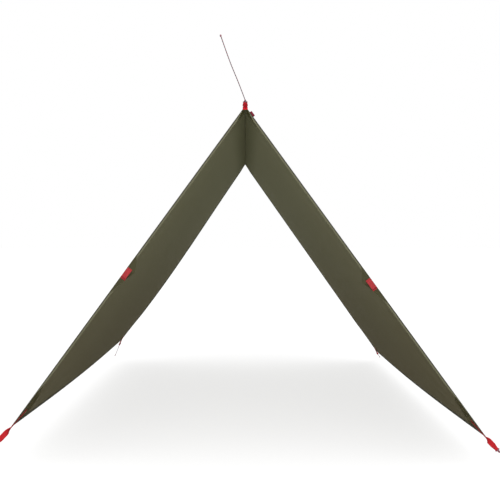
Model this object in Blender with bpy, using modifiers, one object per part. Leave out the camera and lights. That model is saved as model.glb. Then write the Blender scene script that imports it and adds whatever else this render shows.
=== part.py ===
"""A camping tarp pitched as an A-frame, as a kit of sewn and knotted pieces, in metres.

The origin is the eye of the front ridge loop, from which the ridge guyline holds the tarp.
+Y runs along the ridge to the rear, +X is the right-hand side seen from the front, +Z is up.
Each panel is described on its own fabric: "along" is the way along the ridge from the front
hem, "down" is the way down the slope from the ridge, and heights stand out from the panel's
middle plane, positive towards the weather side.
"""

import math
from collections.abc import Callable, Sequence
from dataclasses import dataclass

import bmesh
import bpy
from mathutils import Matrix, Vector

# Fabric, cut size
RIDGE_LENGTH = 3.0
PANEL_DEPTH = 1.5

# Pitch: where the four corners stand from the ridge line, sideways and downwards
FRONT_LEFT_SPAN, FRONT_LEFT_DROP = 0.878, 1.203
FRONT_RIGHT_SPAN, FRONT_RIGHT_DROP = 0.903, 1.241
REAR_LEFT_SPAN, REAR_LEFT_DROP = 0.848, 1.200
REAR_RIGHT_SPAN, REAR_RIGHT_DROP = 0.895, 1.273

# Slack in the pitched fabric
PANEL_SAG = 0.020
SIDE_HEM_DROOP = 0.013
REAR_LEFT_BOW = 0.018
REAR_RIGHT_BOW = 0.0
REAR_BOW_POWER = 4
REAR_BOW_LOWERED = 1.5

# Cloth and webbing thicknesses
PANEL_THICKNESS = 0.0005
TAPE_THICKNESS = 0.0004
TAB_THICKNESS = 0.0008
WEBBING_THICKNESS = 0.0012
WEBBING_WIDTH = 0.020
LAYER_GAP = 0.0003

# Ridge seam
SEAM_DIAMETER = 0.005
SEAM_SIDES = 12
SEAM_FRONT_NOSE = 0.006
SEAM_REAR_NOSE = 0.002
PANEL_TO_RIDGE = 0.0032

# Hem tape
TAPE_WIDTH = 0.020
TAPE_TO_RIDGE = 0.0095
FRONT_HEM_ROLL = 0.009
REAR_HEM_ROLL = 0.0035
ROLL_STARTS = 0.010
ROLL_FULL_FROM_RIDGE = 0.070
ROLL_FULL_FROM_CORNER = 0.250
ROLL_ENDS_AT_CORNER = 0.125

# Reinforcement patches
CORNER_PATCH = 0.170
RIDGE_PATCH = 0.130
PATCH_ROUNDING = 0.64
PATCH_CELLS = 5
TAPE_END_GAP = 0.0005

# Sewn corner webbing and the strap hinged on it
CORNER_WEBBING_LENGTH = 0.100
SEWN_END_TO_HINGE = 0.0006
HINGE_TO_STRAP = 0.0003
CORNER_TO_HINGE = 0.0026
FRONT_LEFT_STRAP_LENGTH = 0.098
FRONT_RIGHT_STRAP_LENGTH = 0.073
REAR_STRAP_LENGTH = 0.078
FRONT_STRAP_TWIST = math.radians(90)
TWIST_DONE_SHARE = 0.55
NARROWS_FROM_SHARE = 0.80
LEG_SPACE = 0.0004
EYE_LENGTH = 0.020
EYE_SWELL = 0.009
EYE_POWER = 1.5
NOSE_WIDTH_SHARE = 0.60

# Where each strap and cord pulls to, on the ground, sideways from the ridge and from the front hem
GROUND_BELOW_RIDGE = 1.345
FRONT_LEFT_PEG = (-1.002, -0.228)
FRONT_RIGHT_PEG = (0.992, -0.197)
REAR_LEFT_PEG = (-0.930, 3.300)
REAR_RIGHT_PEG = (0.950, 3.210)

# Ridge loops
FRONT_LOOP_REACH = 0.040
FRONT_LOOP_RISE = 0.010
FRONT_LOOP_NARROWS_OVER = 0.044
FRONT_LOOP_NOSE_SHARE = 0.50
FRONT_LOOP_NOSE = [
    (0.0000, 0.0000),
    (0.0003, 0.0016),
    (0.0018, 0.0036),
    (0.0050, 0.0052),
    (0.0120, 0.0059),
    (0.0220, 0.0055),
]
FRONT_LOOP_TOP = [(0.0332, -0.0036), (0.0400, -0.0062), (0.0440, -0.0064), (0.0600, -0.0064)]
FRONT_LOOP_APRON = [
    (0.0300, -0.0140), (0.0345, -0.0160), (0.0368, -0.0190), (0.0379, -0.0228)
]
REAR_LOOP_LENGTH = 0.045
REAR_LOOP_LIFT = math.radians(24)
REAR_END_TO_HINGE = 0.0010

# Mid-hem tabs with their webbing loops
TAB_BASE = 0.180
TAB_DEPTH = 0.034
TAB_POINT_FROM_TOP = 0.056
TAB_POINT_ROUND = 0.006
LEFT_TAB_LOOP_CENTRE = 0.776
RIGHT_TAB_LOOP_CENTRE = 0.801
TAB_LOOP_FROM_TOP = 0.0805
TAB_LOOP_IN = 0.0010
HEM_TO_TAB_HINGE = 0.0014
TAB_HINGE_TO_ROOT = 0.0002
ARCH_LENGTH = 0.049
ARCH_FOOT = 0.005
ARCH_RISE = 0.0067
ARCH_CROWN = 0.0011
ARCH_SHOULDER = 0.0039

# Short webbing loop on the weather side of the right panel, beside the front of the ridge
OUTER_ARCH_CENTRE = 0.037
OUTER_ARCH_LENGTH = 0.030
OUTER_ARCH_FROM_HEM = 0.0005

# Cords and knots
CORD_DIAMETER = 0.003
CORD_POINT_SPACING = 0.009
KNOT_LENGTH = 0.010
KNOT_WIDTH = 0.008
KNOT_SEGMENTS = 10
KNOT_RINGS = 6
HITCH_ARC_STEPS = 3

# Routes of the cords, from knot to knot
GUYLINE_ROUTE = [
    (0.0000, -0.0132, 0.0054),
    (-0.0235, -0.1280, 0.0505),
    (-0.0520, -0.2580, 0.1025),
    (-0.0800, -0.4000, 0.1615),
]
FRONT_LEFT_ROUTE = [
    (-0.9246, -0.0487, -1.2694),
    (-0.9497, -0.0950, -1.2978),
    (-0.9749, -0.1412, -1.3250),
    (-0.9960, -0.1800, -1.3475),
]
FRONT_RIGHT_ROUTE = [
    (0.9349, -0.0340, -1.2912),
    (0.9517, -0.0702, -1.3100),
    (0.9685, -0.1064, -1.3287),
    (0.9853, -0.1426, -1.3475),
]
REAR_LEFT_ROUTE = [
    (-0.8694, 3.1231, -1.2512),
    (-0.8885, 3.1930, -1.2852),
    (-0.9076, 3.2629, -1.3180),
    (-0.9260, 3.3303, -1.3475),
]
REAR_RIGHT_ROUTE = [
    (0.9164, 3.1273, -1.3141),
    (0.9260, 3.1640, -1.3262),
    (0.9356, 3.2008, -1.3375),
    (0.9450, 3.2366, -1.3475),
]

# Mesh density
CELLS_ALONG = 14
CELLS_DOWN = 10
ROLL_CELLS = 3
WEBBING_CELLS = 6
STRAP_LEG_CELLS = 12
EYE_CELLS = 6
WEBBING_CELLS_ACROSS = 1
ARCH_CROWN_CELLS = 4
PROBE = 1e-4

# Heights of the layers from a panel's middle plane
TAPE_HEIGHT = PANEL_THICKNESS / 2 + LAYER_GAP + TAPE_THICKNESS / 2
TAPE_FOLD = LAYER_GAP + TAPE_THICKNESS / 2
WEBBING_HEIGHT = TAPE_HEIGHT + TAPE_THICKNESS / 2 + LAYER_GAP + WEBBING_THICKNESS / 2
RIDGE_FRONT = Vector((0, FRONT_LOOP_REACH, -FRONT_LOOP_RISE))
GROUND = RIDGE_FRONT.z - GROUND_BELOW_RIDGE

Place = Callable[[float, float], Vector]


@dataclass(frozen=True)
class Finish:
    """A material's look: linear colour, roughness and metallic value."""

    name: str
    color: tuple[float, float, float, float]
    roughness: float
    metallic: float = 0.0

    def material(self) -> bpy.types.Material:
        """Return the Principled material of this finish, made once."""
        found = bpy.data.materials.get(self.name)
        if found:
            return found
        made = bpy.data.materials.new(self.name)
        made.use_nodes = True
        shader = made.node_tree.nodes["Principled BSDF"]
        shader.inputs["Base Color"].default_value = self.color
        shader.inputs["Roughness"].default_value = self.roughness
        shader.inputs["Metallic"].default_value = self.metallic
        return made


CANOPY = Finish("canopy_nylon", (0.105, 0.103, 0.060, 1), 0.75)
HEM_TAPE = Finish("hem_tape", (0.150, 0.148, 0.100, 1), 0.80)
WEBBING = Finish("red_webbing", (0.700, 0.020, 0.030, 1), 0.70)
CORD = Finish("speckled_cord", (0.210, 0.170, 0.200, 1), 0.85)


@dataclass(frozen=True)
class Corner:
    """One corner of the tarp: its panel's side, its end of the ridge and its pull."""

    side: int
    rear: bool
    span: float
    drop: float
    peg: tuple[float, float]
    strap_length: float
    twist: float
    route: Sequence[tuple[float, float, float]]

    @property
    def name(self) -> str:
        """The corner's name, such as left_front."""
        return f"{'left' if self.side < 0 else 'right'}_{'rear' if self.rear else 'front'}"

    def foot(self) -> Vector:
        """Return where the corner of the fabric lies."""
        return RIDGE_FRONT + Vector(
            (self.side * self.span, RIDGE_LENGTH if self.rear else 0, -self.drop)
        )

    def pull(self) -> Vector:
        """Return the direction from the corner to its peg."""
        peg = Vector((self.peg[0], RIDGE_FRONT.y + self.peg[1], GROUND))
        return (peg - self.foot()).normalized()


@dataclass(frozen=True)
class Panel:
    """One sloping half of the tarp, as a smooth surface over its fabric."""

    side: int
    front: Corner
    rear: Corner
    rear_bow: float

    @property
    def name(self) -> str:
        """The panel's side as a word."""
        return "left" if self.side < 0 else "right"

    def surface(self, along: float, down: float) -> Vector:
        """Return the point of the middle plane at this place of the fabric."""
        a = along / RIDGE_LENGTH
        b = down / PANEL_DEPTH
        top = RIDGE_FRONT + Vector((0, along, 0))
        front, rear = self.front.foot(), self.rear.foot()
        foot = front + (rear - front) * a
        slope = foot - top
        inward = Vector((self.side * slope.z, 0, -abs(slope.x))).normalized()
        slack = PANEL_SAG * math.sin(math.pi * a) * math.sin(math.pi * b)
        lowered = max(b, 0) ** REAR_BOW_LOWERED
        slack += self.rear_bow * max(a, 0) ** REAR_BOW_POWER * math.sin(math.pi * lowered)
        droop = SIDE_HEM_DROOP * math.sin(math.pi * a) * b * b
        return top + slope * b + inward * slack - Vector((0, 0, droop))

    def normal(self, along: float, down: float) -> Vector:
        """Return the weather-side normal at this place of the fabric."""
        down_way = self.surface(along, down + PROBE) - self.surface(along, down - PROBE)
        along_way = self.surface(along + PROBE, down) - self.surface(along - PROBE, down)
        return (down_way.cross(along_way) * self.side).normalized()

    def at(self, along: float, down: float, height: float = 0.0) -> Vector:
        """Return the point at this place of the fabric and this height above it."""
        return self.surface(along, down) + self.normal(along, down) * height


def clear_scene() -> None:
    """Remove every object of the scene."""
    for obj in list(bpy.data.objects):
        bpy.data.objects.remove(obj, do_unlink=True)


def new_collection(name: str) -> bpy.types.Collection:
    """Return a new collection in the scene."""
    collection = bpy.data.collections.new(name)
    bpy.context.scene.collection.children.link(collection)
    return collection


def adopt(
    obj: bpy.types.Object,
    collection: bpy.types.Collection,
    parent: bpy.types.Object,
    finish: Finish | None = None,
) -> bpy.types.Object:
    """Link an object, keep it where it is under its parent and give it its material."""
    collection.objects.link(obj)
    obj.parent = parent
    obj.matrix_parent_inverse = world_of(parent).inverted()
    if finish:
        obj.data.materials.append(finish.material())
    return obj


def world_of(obj: bpy.types.Object) -> Matrix:
    """Return an object's place in the world, worked out through its parents."""
    if not obj.parent:
        return obj.matrix_basis.copy()
    return world_of(obj.parent) @ obj.matrix_parent_inverse @ obj.matrix_basis


def frame_of(origin: Vector, forward: Vector, across: Vector) -> Matrix:
    """Return the frame at origin whose X is forward, Y across and Z square to both."""
    x = forward.normalized()
    z = x.cross(across).normalized()
    y = z.cross(x)
    frame = Matrix((x, y, z)).transposed().to_4x4()
    frame.translation = origin
    return frame


def hinge(
    name: str,
    frame: Matrix,
    collection: bpy.types.Collection,
    parent: bpy.types.Object | None,
) -> bpy.types.Object:
    """Return an empty whose Y axis is the hinge line of what hangs on it."""
    empty = bpy.data.objects.new(name, None)
    empty.empty_display_size = WEBBING_WIDTH
    collection.objects.link(empty)
    if parent:
        empty.parent = parent
        empty.matrix_parent_inverse = world_of(parent).inverted()
    empty.matrix_basis = frame
    return empty


def sheet(
    name: str,
    columns: Sequence[float],
    rows: Sequence[float],
    place: Place,
    thickness: float,
    folded: bool = False,
) -> bpy.types.Object:
    """Return a grid of columns and rows, laid out by place and thickened both ways.

    A folded one has its later half cut into triangles the other way round, so that two legs
    lying on each other are cut alike.
    """
    form = bmesh.new()
    last_column, last_row = len(columns) - 1, len(rows) - 1
    bmesh.ops.create_grid(form, x_segments=last_column, y_segments=last_row, size=1)
    for later, method in ((False, "FIXED"), (True, "ALTERNATE")) if folded else ():
        half = [face for face in form.faces if (face.calc_center_median().x > 0) == later]
        bmesh.ops.triangulate(form, faces=half, quad_method=method)
    for vertex in form.verts:
        column = round((vertex.co.x + 1) / 2 * last_column)
        row = round((vertex.co.y + 1) / 2 * last_row)
        vertex.co = place(columns[column], rows[row])
    mesh = bpy.data.meshes.new(name)
    form.to_mesh(mesh)
    form.free()
    obj = bpy.data.objects.new(name, mesh)
    solid = obj.modifiers.new("cloth", "SOLIDIFY")
    solid.thickness = thickness
    solid.offset = 0
    solid.use_even_offset = True
    return obj


def spread(first: float, last: float, cells: int) -> list[float]:
    """Return evenly spaced values from first to last, both included."""
    return [first + (last - first) * step / cells for step in range(cells + 1)]


def eased(value: float, start: float, end: float) -> float:
    """Return 0 before start, 1 after end and a smooth rise between them."""
    share = min(1.0, max(0.0, (value - start) / (end - start)))
    return share * share * (3 - 2 * share)


def along_stations() -> list[float]:
    """Return the grid lines along the ridge, with one at each hem tape's inner edge."""
    inside = spread(TAPE_WIDTH, RIDGE_LENGTH - TAPE_WIDTH, CELLS_ALONG)
    return [0.0, *inside, RIDGE_LENGTH]


def down_stations(first: float) -> list[float]:
    """Return the grid lines down the slope from first, with one at the side tape's edge."""
    inside = spread(ROLL_FULL_FROM_RIDGE, PANEL_DEPTH - ROLL_FULL_FROM_CORNER, CELLS_DOWN)
    near_ridge = spread(first, ROLL_FULL_FROM_RIDGE, ROLL_CELLS)[:-1]
    near_hem = spread(
        PANEL_DEPTH - ROLL_FULL_FROM_CORNER, PANEL_DEPTH - ROLL_ENDS_AT_CORNER, ROLL_CELLS
    )[1:]
    return [*near_ridge, *inside, *near_hem, PANEL_DEPTH - TAPE_WIDTH]


def build_panel(panel: Panel) -> bpy.types.Object:
    """Return one panel's cloth."""
    rows = [*down_stations(PANEL_TO_RIDGE), PANEL_DEPTH]
    return sheet(
        f"{panel.name}_panel", along_stations(), rows, panel.at, PANEL_THICKNESS
    )


def roll_height(down: float, most: float) -> float:
    """Return how far a hem that rolls by most is rolled inwards at this way down the slope."""
    from_corner = PANEL_DEPTH - down
    full = eased(down, ROLL_STARTS, ROLL_FULL_FROM_RIDGE)
    full *= eased(from_corner, ROLL_ENDS_AT_CORNER, ROLL_FULL_FROM_CORNER)
    return TAPE_HEIGHT + (most - TAPE_HEIGHT) * full


def build_end_tape(panel: Panel, rear: bool) -> bpy.types.Object:
    """Return the tape folded over a panel's front or rear hem, with its inward roll."""
    roll = REAR_HEM_ROLL if rear else FRONT_HEM_ROLL

    def place(down: float, corner: float) -> Vector:
        section = [
            (TAPE_WIDTH, TAPE_HEIGHT),
            (-TAPE_FOLD, TAPE_HEIGHT),
            (-TAPE_FOLD, -roll_height(down, roll)),
            (TAPE_WIDTH, -TAPE_HEIGHT),
        ]
        depth, height = section[round(corner)]
        return panel.at(RIDGE_LENGTH - depth if rear else depth, down, height)

    last = PANEL_DEPTH - TAPE_WIDTH - TAPE_END_GAP
    stations = [*down_stations(TAPE_TO_RIDGE)[:-1], last]
    end = "rear" if rear else "front"
    return sheet(
        f"{panel.name}_{end}_hem_tape", stations, range(4), place, TAPE_THICKNESS
    )


def build_side_tape(panel: Panel) -> bpy.types.Object:
    """Return the tape folded over a panel's side hem."""
    section = [
        (TAPE_WIDTH, TAPE_HEIGHT),
        (-TAPE_FOLD, TAPE_HEIGHT),
        (-TAPE_FOLD, -TAPE_HEIGHT),
        (TAPE_WIDTH, -TAPE_HEIGHT),
    ]

    def place(along: float, corner: float) -> Vector:
        depth, height = section[round(corner)]
        return panel.at(along, PANEL_DEPTH - depth, height)

    return sheet(
        f"{panel.name}_side_hem_tape", along_stations(), range(4), place, TAPE_THICKNESS
    )


def build_patch(
    name: str, panel: Panel, rear: bool, from_ridge: bool, size: float
) -> bpy.types.Object:
    """Return a kite-shaped patch on the inner face, in a corner of the panel."""
    edge = TAPE_WIDTH + TAPE_END_GAP
    start_down = TAPE_TO_RIDGE if from_ridge else edge

    def place(one: float, other: float) -> Vector:
        rounding = (1 - PATCH_ROUNDING) * one * other
        depth = edge + size * one * (1 - rounding)
        way = start_down + size * other * (1 - rounding)
        along = RIDGE_LENGTH - depth if rear else depth
        down = way if from_ridge else PANEL_DEPTH - way
        return panel.at(along, down, -TAPE_HEIGHT)

    shares = spread(0, 1, PATCH_CELLS)
    return sheet(name, shares, shares, place, TAPE_THICKNESS)


@dataclass(frozen=True)
class Strap:
    """A corner's strap: where it hinges on the sewn webbing and how it runs from there."""

    corner: Corner
    panel: Panel

    def fabric_way(self) -> Vector:
        """Return the pull as a direction on the fabric, along and down."""
        pull = self.corner.pull()
        slope = (self.corner.foot() - RIDGE_FRONT).xz.normalized()
        return Vector((pull.y, pull.x * slope.x + pull.z * slope.y)).normalized()

    def on_fabric(self, way: float, aside: float) -> Vector:
        """Return the webbing's middle at this way past the corner and this far aside."""
        pull = self.fabric_way()
        along = (RIDGE_LENGTH if self.corner.rear else 0) + pull.x * way - pull.y * aside
        down = PANEL_DEPTH + pull.y * way + pull.x * aside
        return self.panel.at(along, down, -WEBBING_HEIGHT)

    def frame(self) -> Matrix:
        """Return the frame of the hinge: X along the strap, Y across it, Z off the cloth."""
        along = RIDGE_LENGTH if self.corner.rear else 0
        normal = self.panel.normal(along, PANEL_DEPTH)
        pull = self.corner.pull()
        return frame_of(self.on_fabric(CORNER_TO_HINGE, 0), pull, normal.cross(pull))


def build_corner_webbing(strap: Strap) -> bpy.types.Object:
    """Return the webbing sewn across the inside of a corner."""
    stations = spread(
        -CORNER_WEBBING_LENGTH, CORNER_TO_HINGE - SEWN_END_TO_HINGE, WEBBING_CELLS
    )
    aside = spread(-WEBBING_WIDTH / 2, WEBBING_WIDTH / 2, WEBBING_CELLS_ACROSS)
    name = f"{strap.corner.name}_corner_webbing"
    return sheet(name, stations, aside, strap.on_fabric, WEBBING_THICKNESS)


def leg_height() -> float:
    """Return how far the middle of each leg of a strap lies from the strap's middle."""
    return LEG_SPACE / 2 + WEBBING_THICKNESS / 2


def strap_line(length: float) -> list[tuple[float, float]]:
    """Return a strap's folded line from root to eye and back, as way and height."""
    eye_start = length - EYE_LENGTH
    legs = spread(HINGE_TO_STRAP, eye_start, STRAP_LEG_CELLS)[:-1]
    upper = [(way, leg_height()) for way in legs]
    for angle in spread(0, math.pi / 2, EYE_CELLS):
        swell = leg_height() + EYE_SWELL * math.sin(angle) ** EYE_POWER
        upper.append((eye_start + EYE_LENGTH * math.sin(angle), swell * math.cos(angle)))
    lower = [(way, -height) for way, height in reversed(upper[:-1])]
    return [*upper, *lower]


def build_strap(name: str, frame: Matrix, length: float, twist: float) -> bpy.types.Object:
    """Return a strap folded back on itself round an eye, turned by twist on its way."""
    line = strap_line(length)
    eye_start = length - EYE_LENGTH

    def place(index: float, aside: float) -> Vector:
        way, height = line[round(index)]
        turned = twist * eased(way, 0, TWIST_DONE_SHARE * eye_start)
        turn = Matrix.Rotation(turned, 3, "X")
        narrows_from = NARROWS_FROM_SHARE * eye_start
        narrowing = 1 - (1 - NOSE_WIDTH_SHARE) * eased(way, narrows_from, length)
        offset = turn @ Vector((0, aside * narrowing, height))
        return frame @ (Vector((way, 0, 0)) + offset)

    aside = spread(-WEBBING_WIDTH / 2, WEBBING_WIDTH / 2, WEBBING_CELLS_ACROSS)
    return sheet(name, range(len(line)), aside, place, WEBBING_THICKNESS, folded=True)


def guyline_way() -> Vector:
    """Return the way in which the ridge guyline pulls, as seen from the tarp's side."""
    far = GUYLINE_ROUTE[-1]
    return Vector((0, far[1], far[2])).normalized()


def front_loop_line() -> list[tuple[float, float]]:
    """Return the front loop's line, as y and z, from its top leg round the eye to its apron."""
    back = RIDGE_FRONT.yz.normalized()
    off = Vector((-back.y, back.x))
    nose = [Vector(point) for point in FRONT_LOOP_NOSE]
    upper = [tuple(back * way + off * height) for way, height in nose]
    lower = [tuple(back * way - off * height) for way, height in nose]
    return [*reversed(FRONT_LOOP_TOP), *reversed(upper), *lower[1:], *FRONT_LOOP_APRON]


def build_front_loop() -> bpy.types.Object:
    """Return the loop sewn over the front of the ridge, which draws forward to its eye."""
    line = front_loop_line()

    def place(index: float, aside: float) -> Vector:
        y, z = line[round(index)]
        full = eased(y, 0, FRONT_LOOP_NARROWS_OVER)
        width = FRONT_LOOP_NOSE_SHARE + (1 - FRONT_LOOP_NOSE_SHARE) * full
        return Vector((aside * width, y, z))

    aside = spread(-WEBBING_WIDTH / 2, WEBBING_WIDTH / 2, WEBBING_CELLS_ACROSS)
    return sheet("front_ridge_loop", range(len(line)), aside, place, WEBBING_THICKNESS)


def build_seam() -> bpy.types.Object:
    """Return the rolled seam that joins the panels along the ridge."""
    length = SEAM_FRONT_NOSE + RIDGE_LENGTH + SEAM_REAR_NOSE
    form = bmesh.new()
    bmesh.ops.create_cone(
        form,
        cap_ends=True,
        segments=SEAM_SIDES,
        radius1=SEAM_DIAMETER / 2,
        radius2=SEAM_DIAMETER / 2,
        depth=length,
    )
    mesh = bpy.data.meshes.new("ridge_seam")
    form.to_mesh(mesh)
    form.free()
    obj = bpy.data.objects.new("ridge_seam", mesh)
    middle = RIDGE_FRONT + Vector((0, length / 2 - SEAM_FRONT_NOSE, 0))
    obj.matrix_basis = Matrix.Translation(middle) @ Matrix.Rotation(math.pi / 2, 4, "X")
    return obj


def tube(name: str, points: Sequence[Vector], closed: bool = False) -> bpy.types.Object:
    """Return a cord along these points, with filled ends or closed on itself."""
    curve = bpy.data.curves.new(name, "CURVE")
    curve.dimensions = "3D"
    curve.bevel_depth = CORD_DIAMETER / 2
    curve.bevel_resolution = 2
    curve.use_fill_caps = not closed
    spline = curve.splines.new("POLY")
    spline.points.add(len(points) - 1)
    for spline_point, place in zip(spline.points, points):
        spline_point.co = (*place, 1)
    spline.use_cyclic_u = closed
    return bpy.data.objects.new(name, curve)


def smooth_through(route: Sequence[tuple[float, float, float]]) -> list[Vector]:
    """Return points every CORD_POINT_SPACING on a smooth curve through a route."""
    knots = [Vector(point) for point in route]
    before = 2 * knots[0] - knots[1]
    after = 2 * knots[-1] - knots[-2]
    padded = [before, *knots, after]
    points = [knots[0]]
    for a, b, c, d in zip(padded, padded[1:], padded[2:], padded[3:]):
        steps = max(1, round((c - b).length / CORD_POINT_SPACING))
        for share in spread(0, 1, steps)[1:]:
            linear = (c - a) * share
            square = (2 * a - 5 * b + 4 * c - d) * share**2
            cube = (3 * b - a - 3 * c + d) * share**3
            points.append(b + (linear + square + cube) / 2)
    return points


def build_hitch(name: str, frame: Matrix) -> bpy.types.Object:
    """Return the cord's turn round a strap's nose, whose middle is the frame's origin."""
    bend = CORD_DIAMETER / 2
    reach = WEBBING_THICKNESS / 2 + LAYER_GAP + bend
    height = NOSE_WIDTH_SHARE * WEBBING_WIDTH / 2 + LAYER_GAP + bend
    points = []
    for side_x, side_y, start in ((1, 1, 0), (-1, 1, 90), (-1, -1, 180), (1, -1, 270)):
        middle = Vector((side_x * (reach - bend), side_y * (height - bend), 0))
        for step in spread(math.radians(start), math.radians(start + 90), HITCH_ARC_STEPS):
            arc = Vector((math.cos(step), math.sin(step), 0)) * bend
            points.append(frame @ (middle + arc))
    return tube(name, points, closed=True)


def build_knot(name: str, middle: Vector, way: Vector) -> bpy.types.Object:
    """Return a knot drawn out a little along its cord."""
    form = bmesh.new()
    bmesh.ops.create_uvsphere(
        form, u_segments=KNOT_SEGMENTS, v_segments=KNOT_RINGS, radius=KNOT_WIDTH / 2
    )
    stretch = Matrix.Diagonal((1, 1, KNOT_LENGTH / KNOT_WIDTH, 1))
    bmesh.ops.transform(form, matrix=stretch, verts=form.verts)
    mesh = bpy.data.meshes.new(name)
    form.to_mesh(mesh)
    form.free()
    obj = bpy.data.objects.new(name, mesh)
    turn = way.to_track_quat("Z", "Y").to_matrix().to_4x4()
    obj.matrix_basis = Matrix.Translation(middle) @ turn
    return obj


def hitch_to_knot() -> float:
    """Return the way from a nose's middle to the middle of the knot in front of it."""
    hitch = WEBBING_THICKNESS / 2 + LAYER_GAP + CORD_DIAMETER
    return hitch + LAYER_GAP + KNOT_LENGTH / 2


def build_line(
    name: str, nose: Matrix, route: Sequence[tuple[float, float, float]]
) -> list[bpy.types.Object]:
    """Return a cord's pieces: hitch, knot, free cord and the knot at its far end."""
    way = nose.to_3x3().col[0]
    points = smooth_through(route)
    last_way = (points[-1] - points[-2]).normalized()
    far = points[-1] + last_way * (LAYER_GAP + KNOT_LENGTH / 2)
    near = nose.translation + way * hitch_to_knot()
    return [
        build_hitch(f"{name}_hitch", nose),
        build_knot(f"{name}_knot", near, way),
        tube(f"{name}_cord", points),
        build_knot(f"{name}_end_knot", far, last_way),
    ]


def build_arch(
    name: str, length: float, place: Callable[[float, float, float], Vector]
) -> bpy.types.Object:
    """Return a webbing loop sewn down at both ends and standing up between them.

    place takes the way along the webbing, the way across it and the height above its feet.
    """
    half = length / 2
    flat = half - ARCH_FOOT
    shoulder = flat - ARCH_SHOULDER
    ways = [-half, -flat, *spread(-shoulder, shoulder, ARCH_CROWN_CELLS), flat, half]

    def lifted(way: float, aside: float) -> Vector:
        rise = ARCH_RISE + ARCH_CROWN * (1 - (way / shoulder) ** 2)
        return place(way, aside, rise if abs(way) <= shoulder else 0)

    aside = spread(-WEBBING_WIDTH / 2, WEBBING_WIDTH / 2, WEBBING_CELLS_ACROSS)
    return sheet(name, ways, aside, lifted, WEBBING_THICKNESS)


def build_outer_arch() -> bpy.types.Object:
    """Return the small loop on the weather side of the right panel, near the ridge."""
    middle_along = OUTER_ARCH_FROM_HEM + OUTER_ARCH_LENGTH / 2

    def place(way: float, aside: float, rise: float) -> Vector:
        height = WEBBING_HEIGHT + rise
        return RIGHT.at(middle_along + way, OUTER_ARCH_CENTRE + aside, height)

    return build_arch("right_outer_ridge_loop", OUTER_ARCH_LENGTH, place)


def tab_frame(corner: Corner, panel: Panel) -> Matrix:
    """Return a tab's frame: X out along the tab, Y along the hem, Z on the loop's side."""
    edge = RIDGE_LENGTH if corner.rear else 0
    centre = LEFT_TAB_LOOP_CENTRE if corner.side < 0 else RIGHT_TAB_LOOP_CENTRE
    normal = panel.normal(edge, centre)
    along_way = Vector((0, 1 if corner.rear else -1, 0))
    origin = panel.at(edge, centre) + along_way * HEM_TO_TAB_HINGE
    out, face = (along_way, normal) if corner.rear else (-normal, along_way)
    return frame_of(origin, out, face.cross(out))


def build_tab(corner: Corner, frame: Matrix) -> bpy.types.Object:
    """Return the triangular tab of a mid-hem tie-out."""
    up = 1 if frame.to_3x3().col[1].z > 0 else -1
    top = TAB_LOOP_FROM_TOP
    root = TAB_HINGE_TO_ROOT
    point_y = top - TAB_POINT_FROM_TOP
    outline = [
        (root, top),
        (TAB_DEPTH - TAB_POINT_ROUND / 3, point_y + TAB_POINT_ROUND / 2),
        (TAB_DEPTH, point_y),
        (TAB_DEPTH - TAB_POINT_ROUND / 3, point_y - TAB_POINT_ROUND),
        (root, top - TAB_BASE),
    ]
    name = f"{corner.name}_tab"
    curve = bpy.data.curves.new(name, "CURVE")
    curve.dimensions = "2D"
    curve.fill_mode = "BOTH"
    curve.extrude = TAB_THICKNESS / 2
    spline = curve.splines.new("POLY")
    spline.points.add(len(outline) - 1)
    for point, (x, y) in zip(spline.points, outline):
        point.co = (x, up * y, 0, 1)
    spline.use_cyclic_u = True
    obj = bpy.data.objects.new(name, curve)
    obj.matrix_basis = frame
    return obj


def build_tab_loop(corner: Corner, frame: Matrix) -> bpy.types.Object:
    """Return the webbing loop sewn on a tab."""
    base = TAB_THICKNESS / 2 + LAYER_GAP + WEBBING_THICKNESS / 2
    middle = TAB_LOOP_IN + WEBBING_WIDTH / 2

    def place(way: float, aside: float, rise: float) -> Vector:
        return frame @ Vector((middle + aside, way, base + rise))

    return build_arch(f"{corner.name}_tab_loop", ARCH_LENGTH, place)


FRONT_LEFT = Corner(
    -1, False, FRONT_LEFT_SPAN, FRONT_LEFT_DROP, FRONT_LEFT_PEG,
    FRONT_LEFT_STRAP_LENGTH, FRONT_STRAP_TWIST, FRONT_LEFT_ROUTE,
)
FRONT_RIGHT = Corner(
    1, False, FRONT_RIGHT_SPAN, FRONT_RIGHT_DROP, FRONT_RIGHT_PEG,
    FRONT_RIGHT_STRAP_LENGTH, -FRONT_STRAP_TWIST, FRONT_RIGHT_ROUTE,
)
REAR_LEFT = Corner(
    -1, True, REAR_LEFT_SPAN, REAR_LEFT_DROP, REAR_LEFT_PEG,
    REAR_STRAP_LENGTH, 0.0, REAR_LEFT_ROUTE,
)
REAR_RIGHT = Corner(
    1, True, REAR_RIGHT_SPAN, REAR_RIGHT_DROP, REAR_RIGHT_PEG,
    REAR_STRAP_LENGTH, 0.0, REAR_RIGHT_ROUTE,
)
LEFT = Panel(-1, FRONT_LEFT, REAR_LEFT, REAR_LEFT_BOW)
RIGHT = Panel(1, FRONT_RIGHT, REAR_RIGHT, REAR_RIGHT_BOW)


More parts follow.
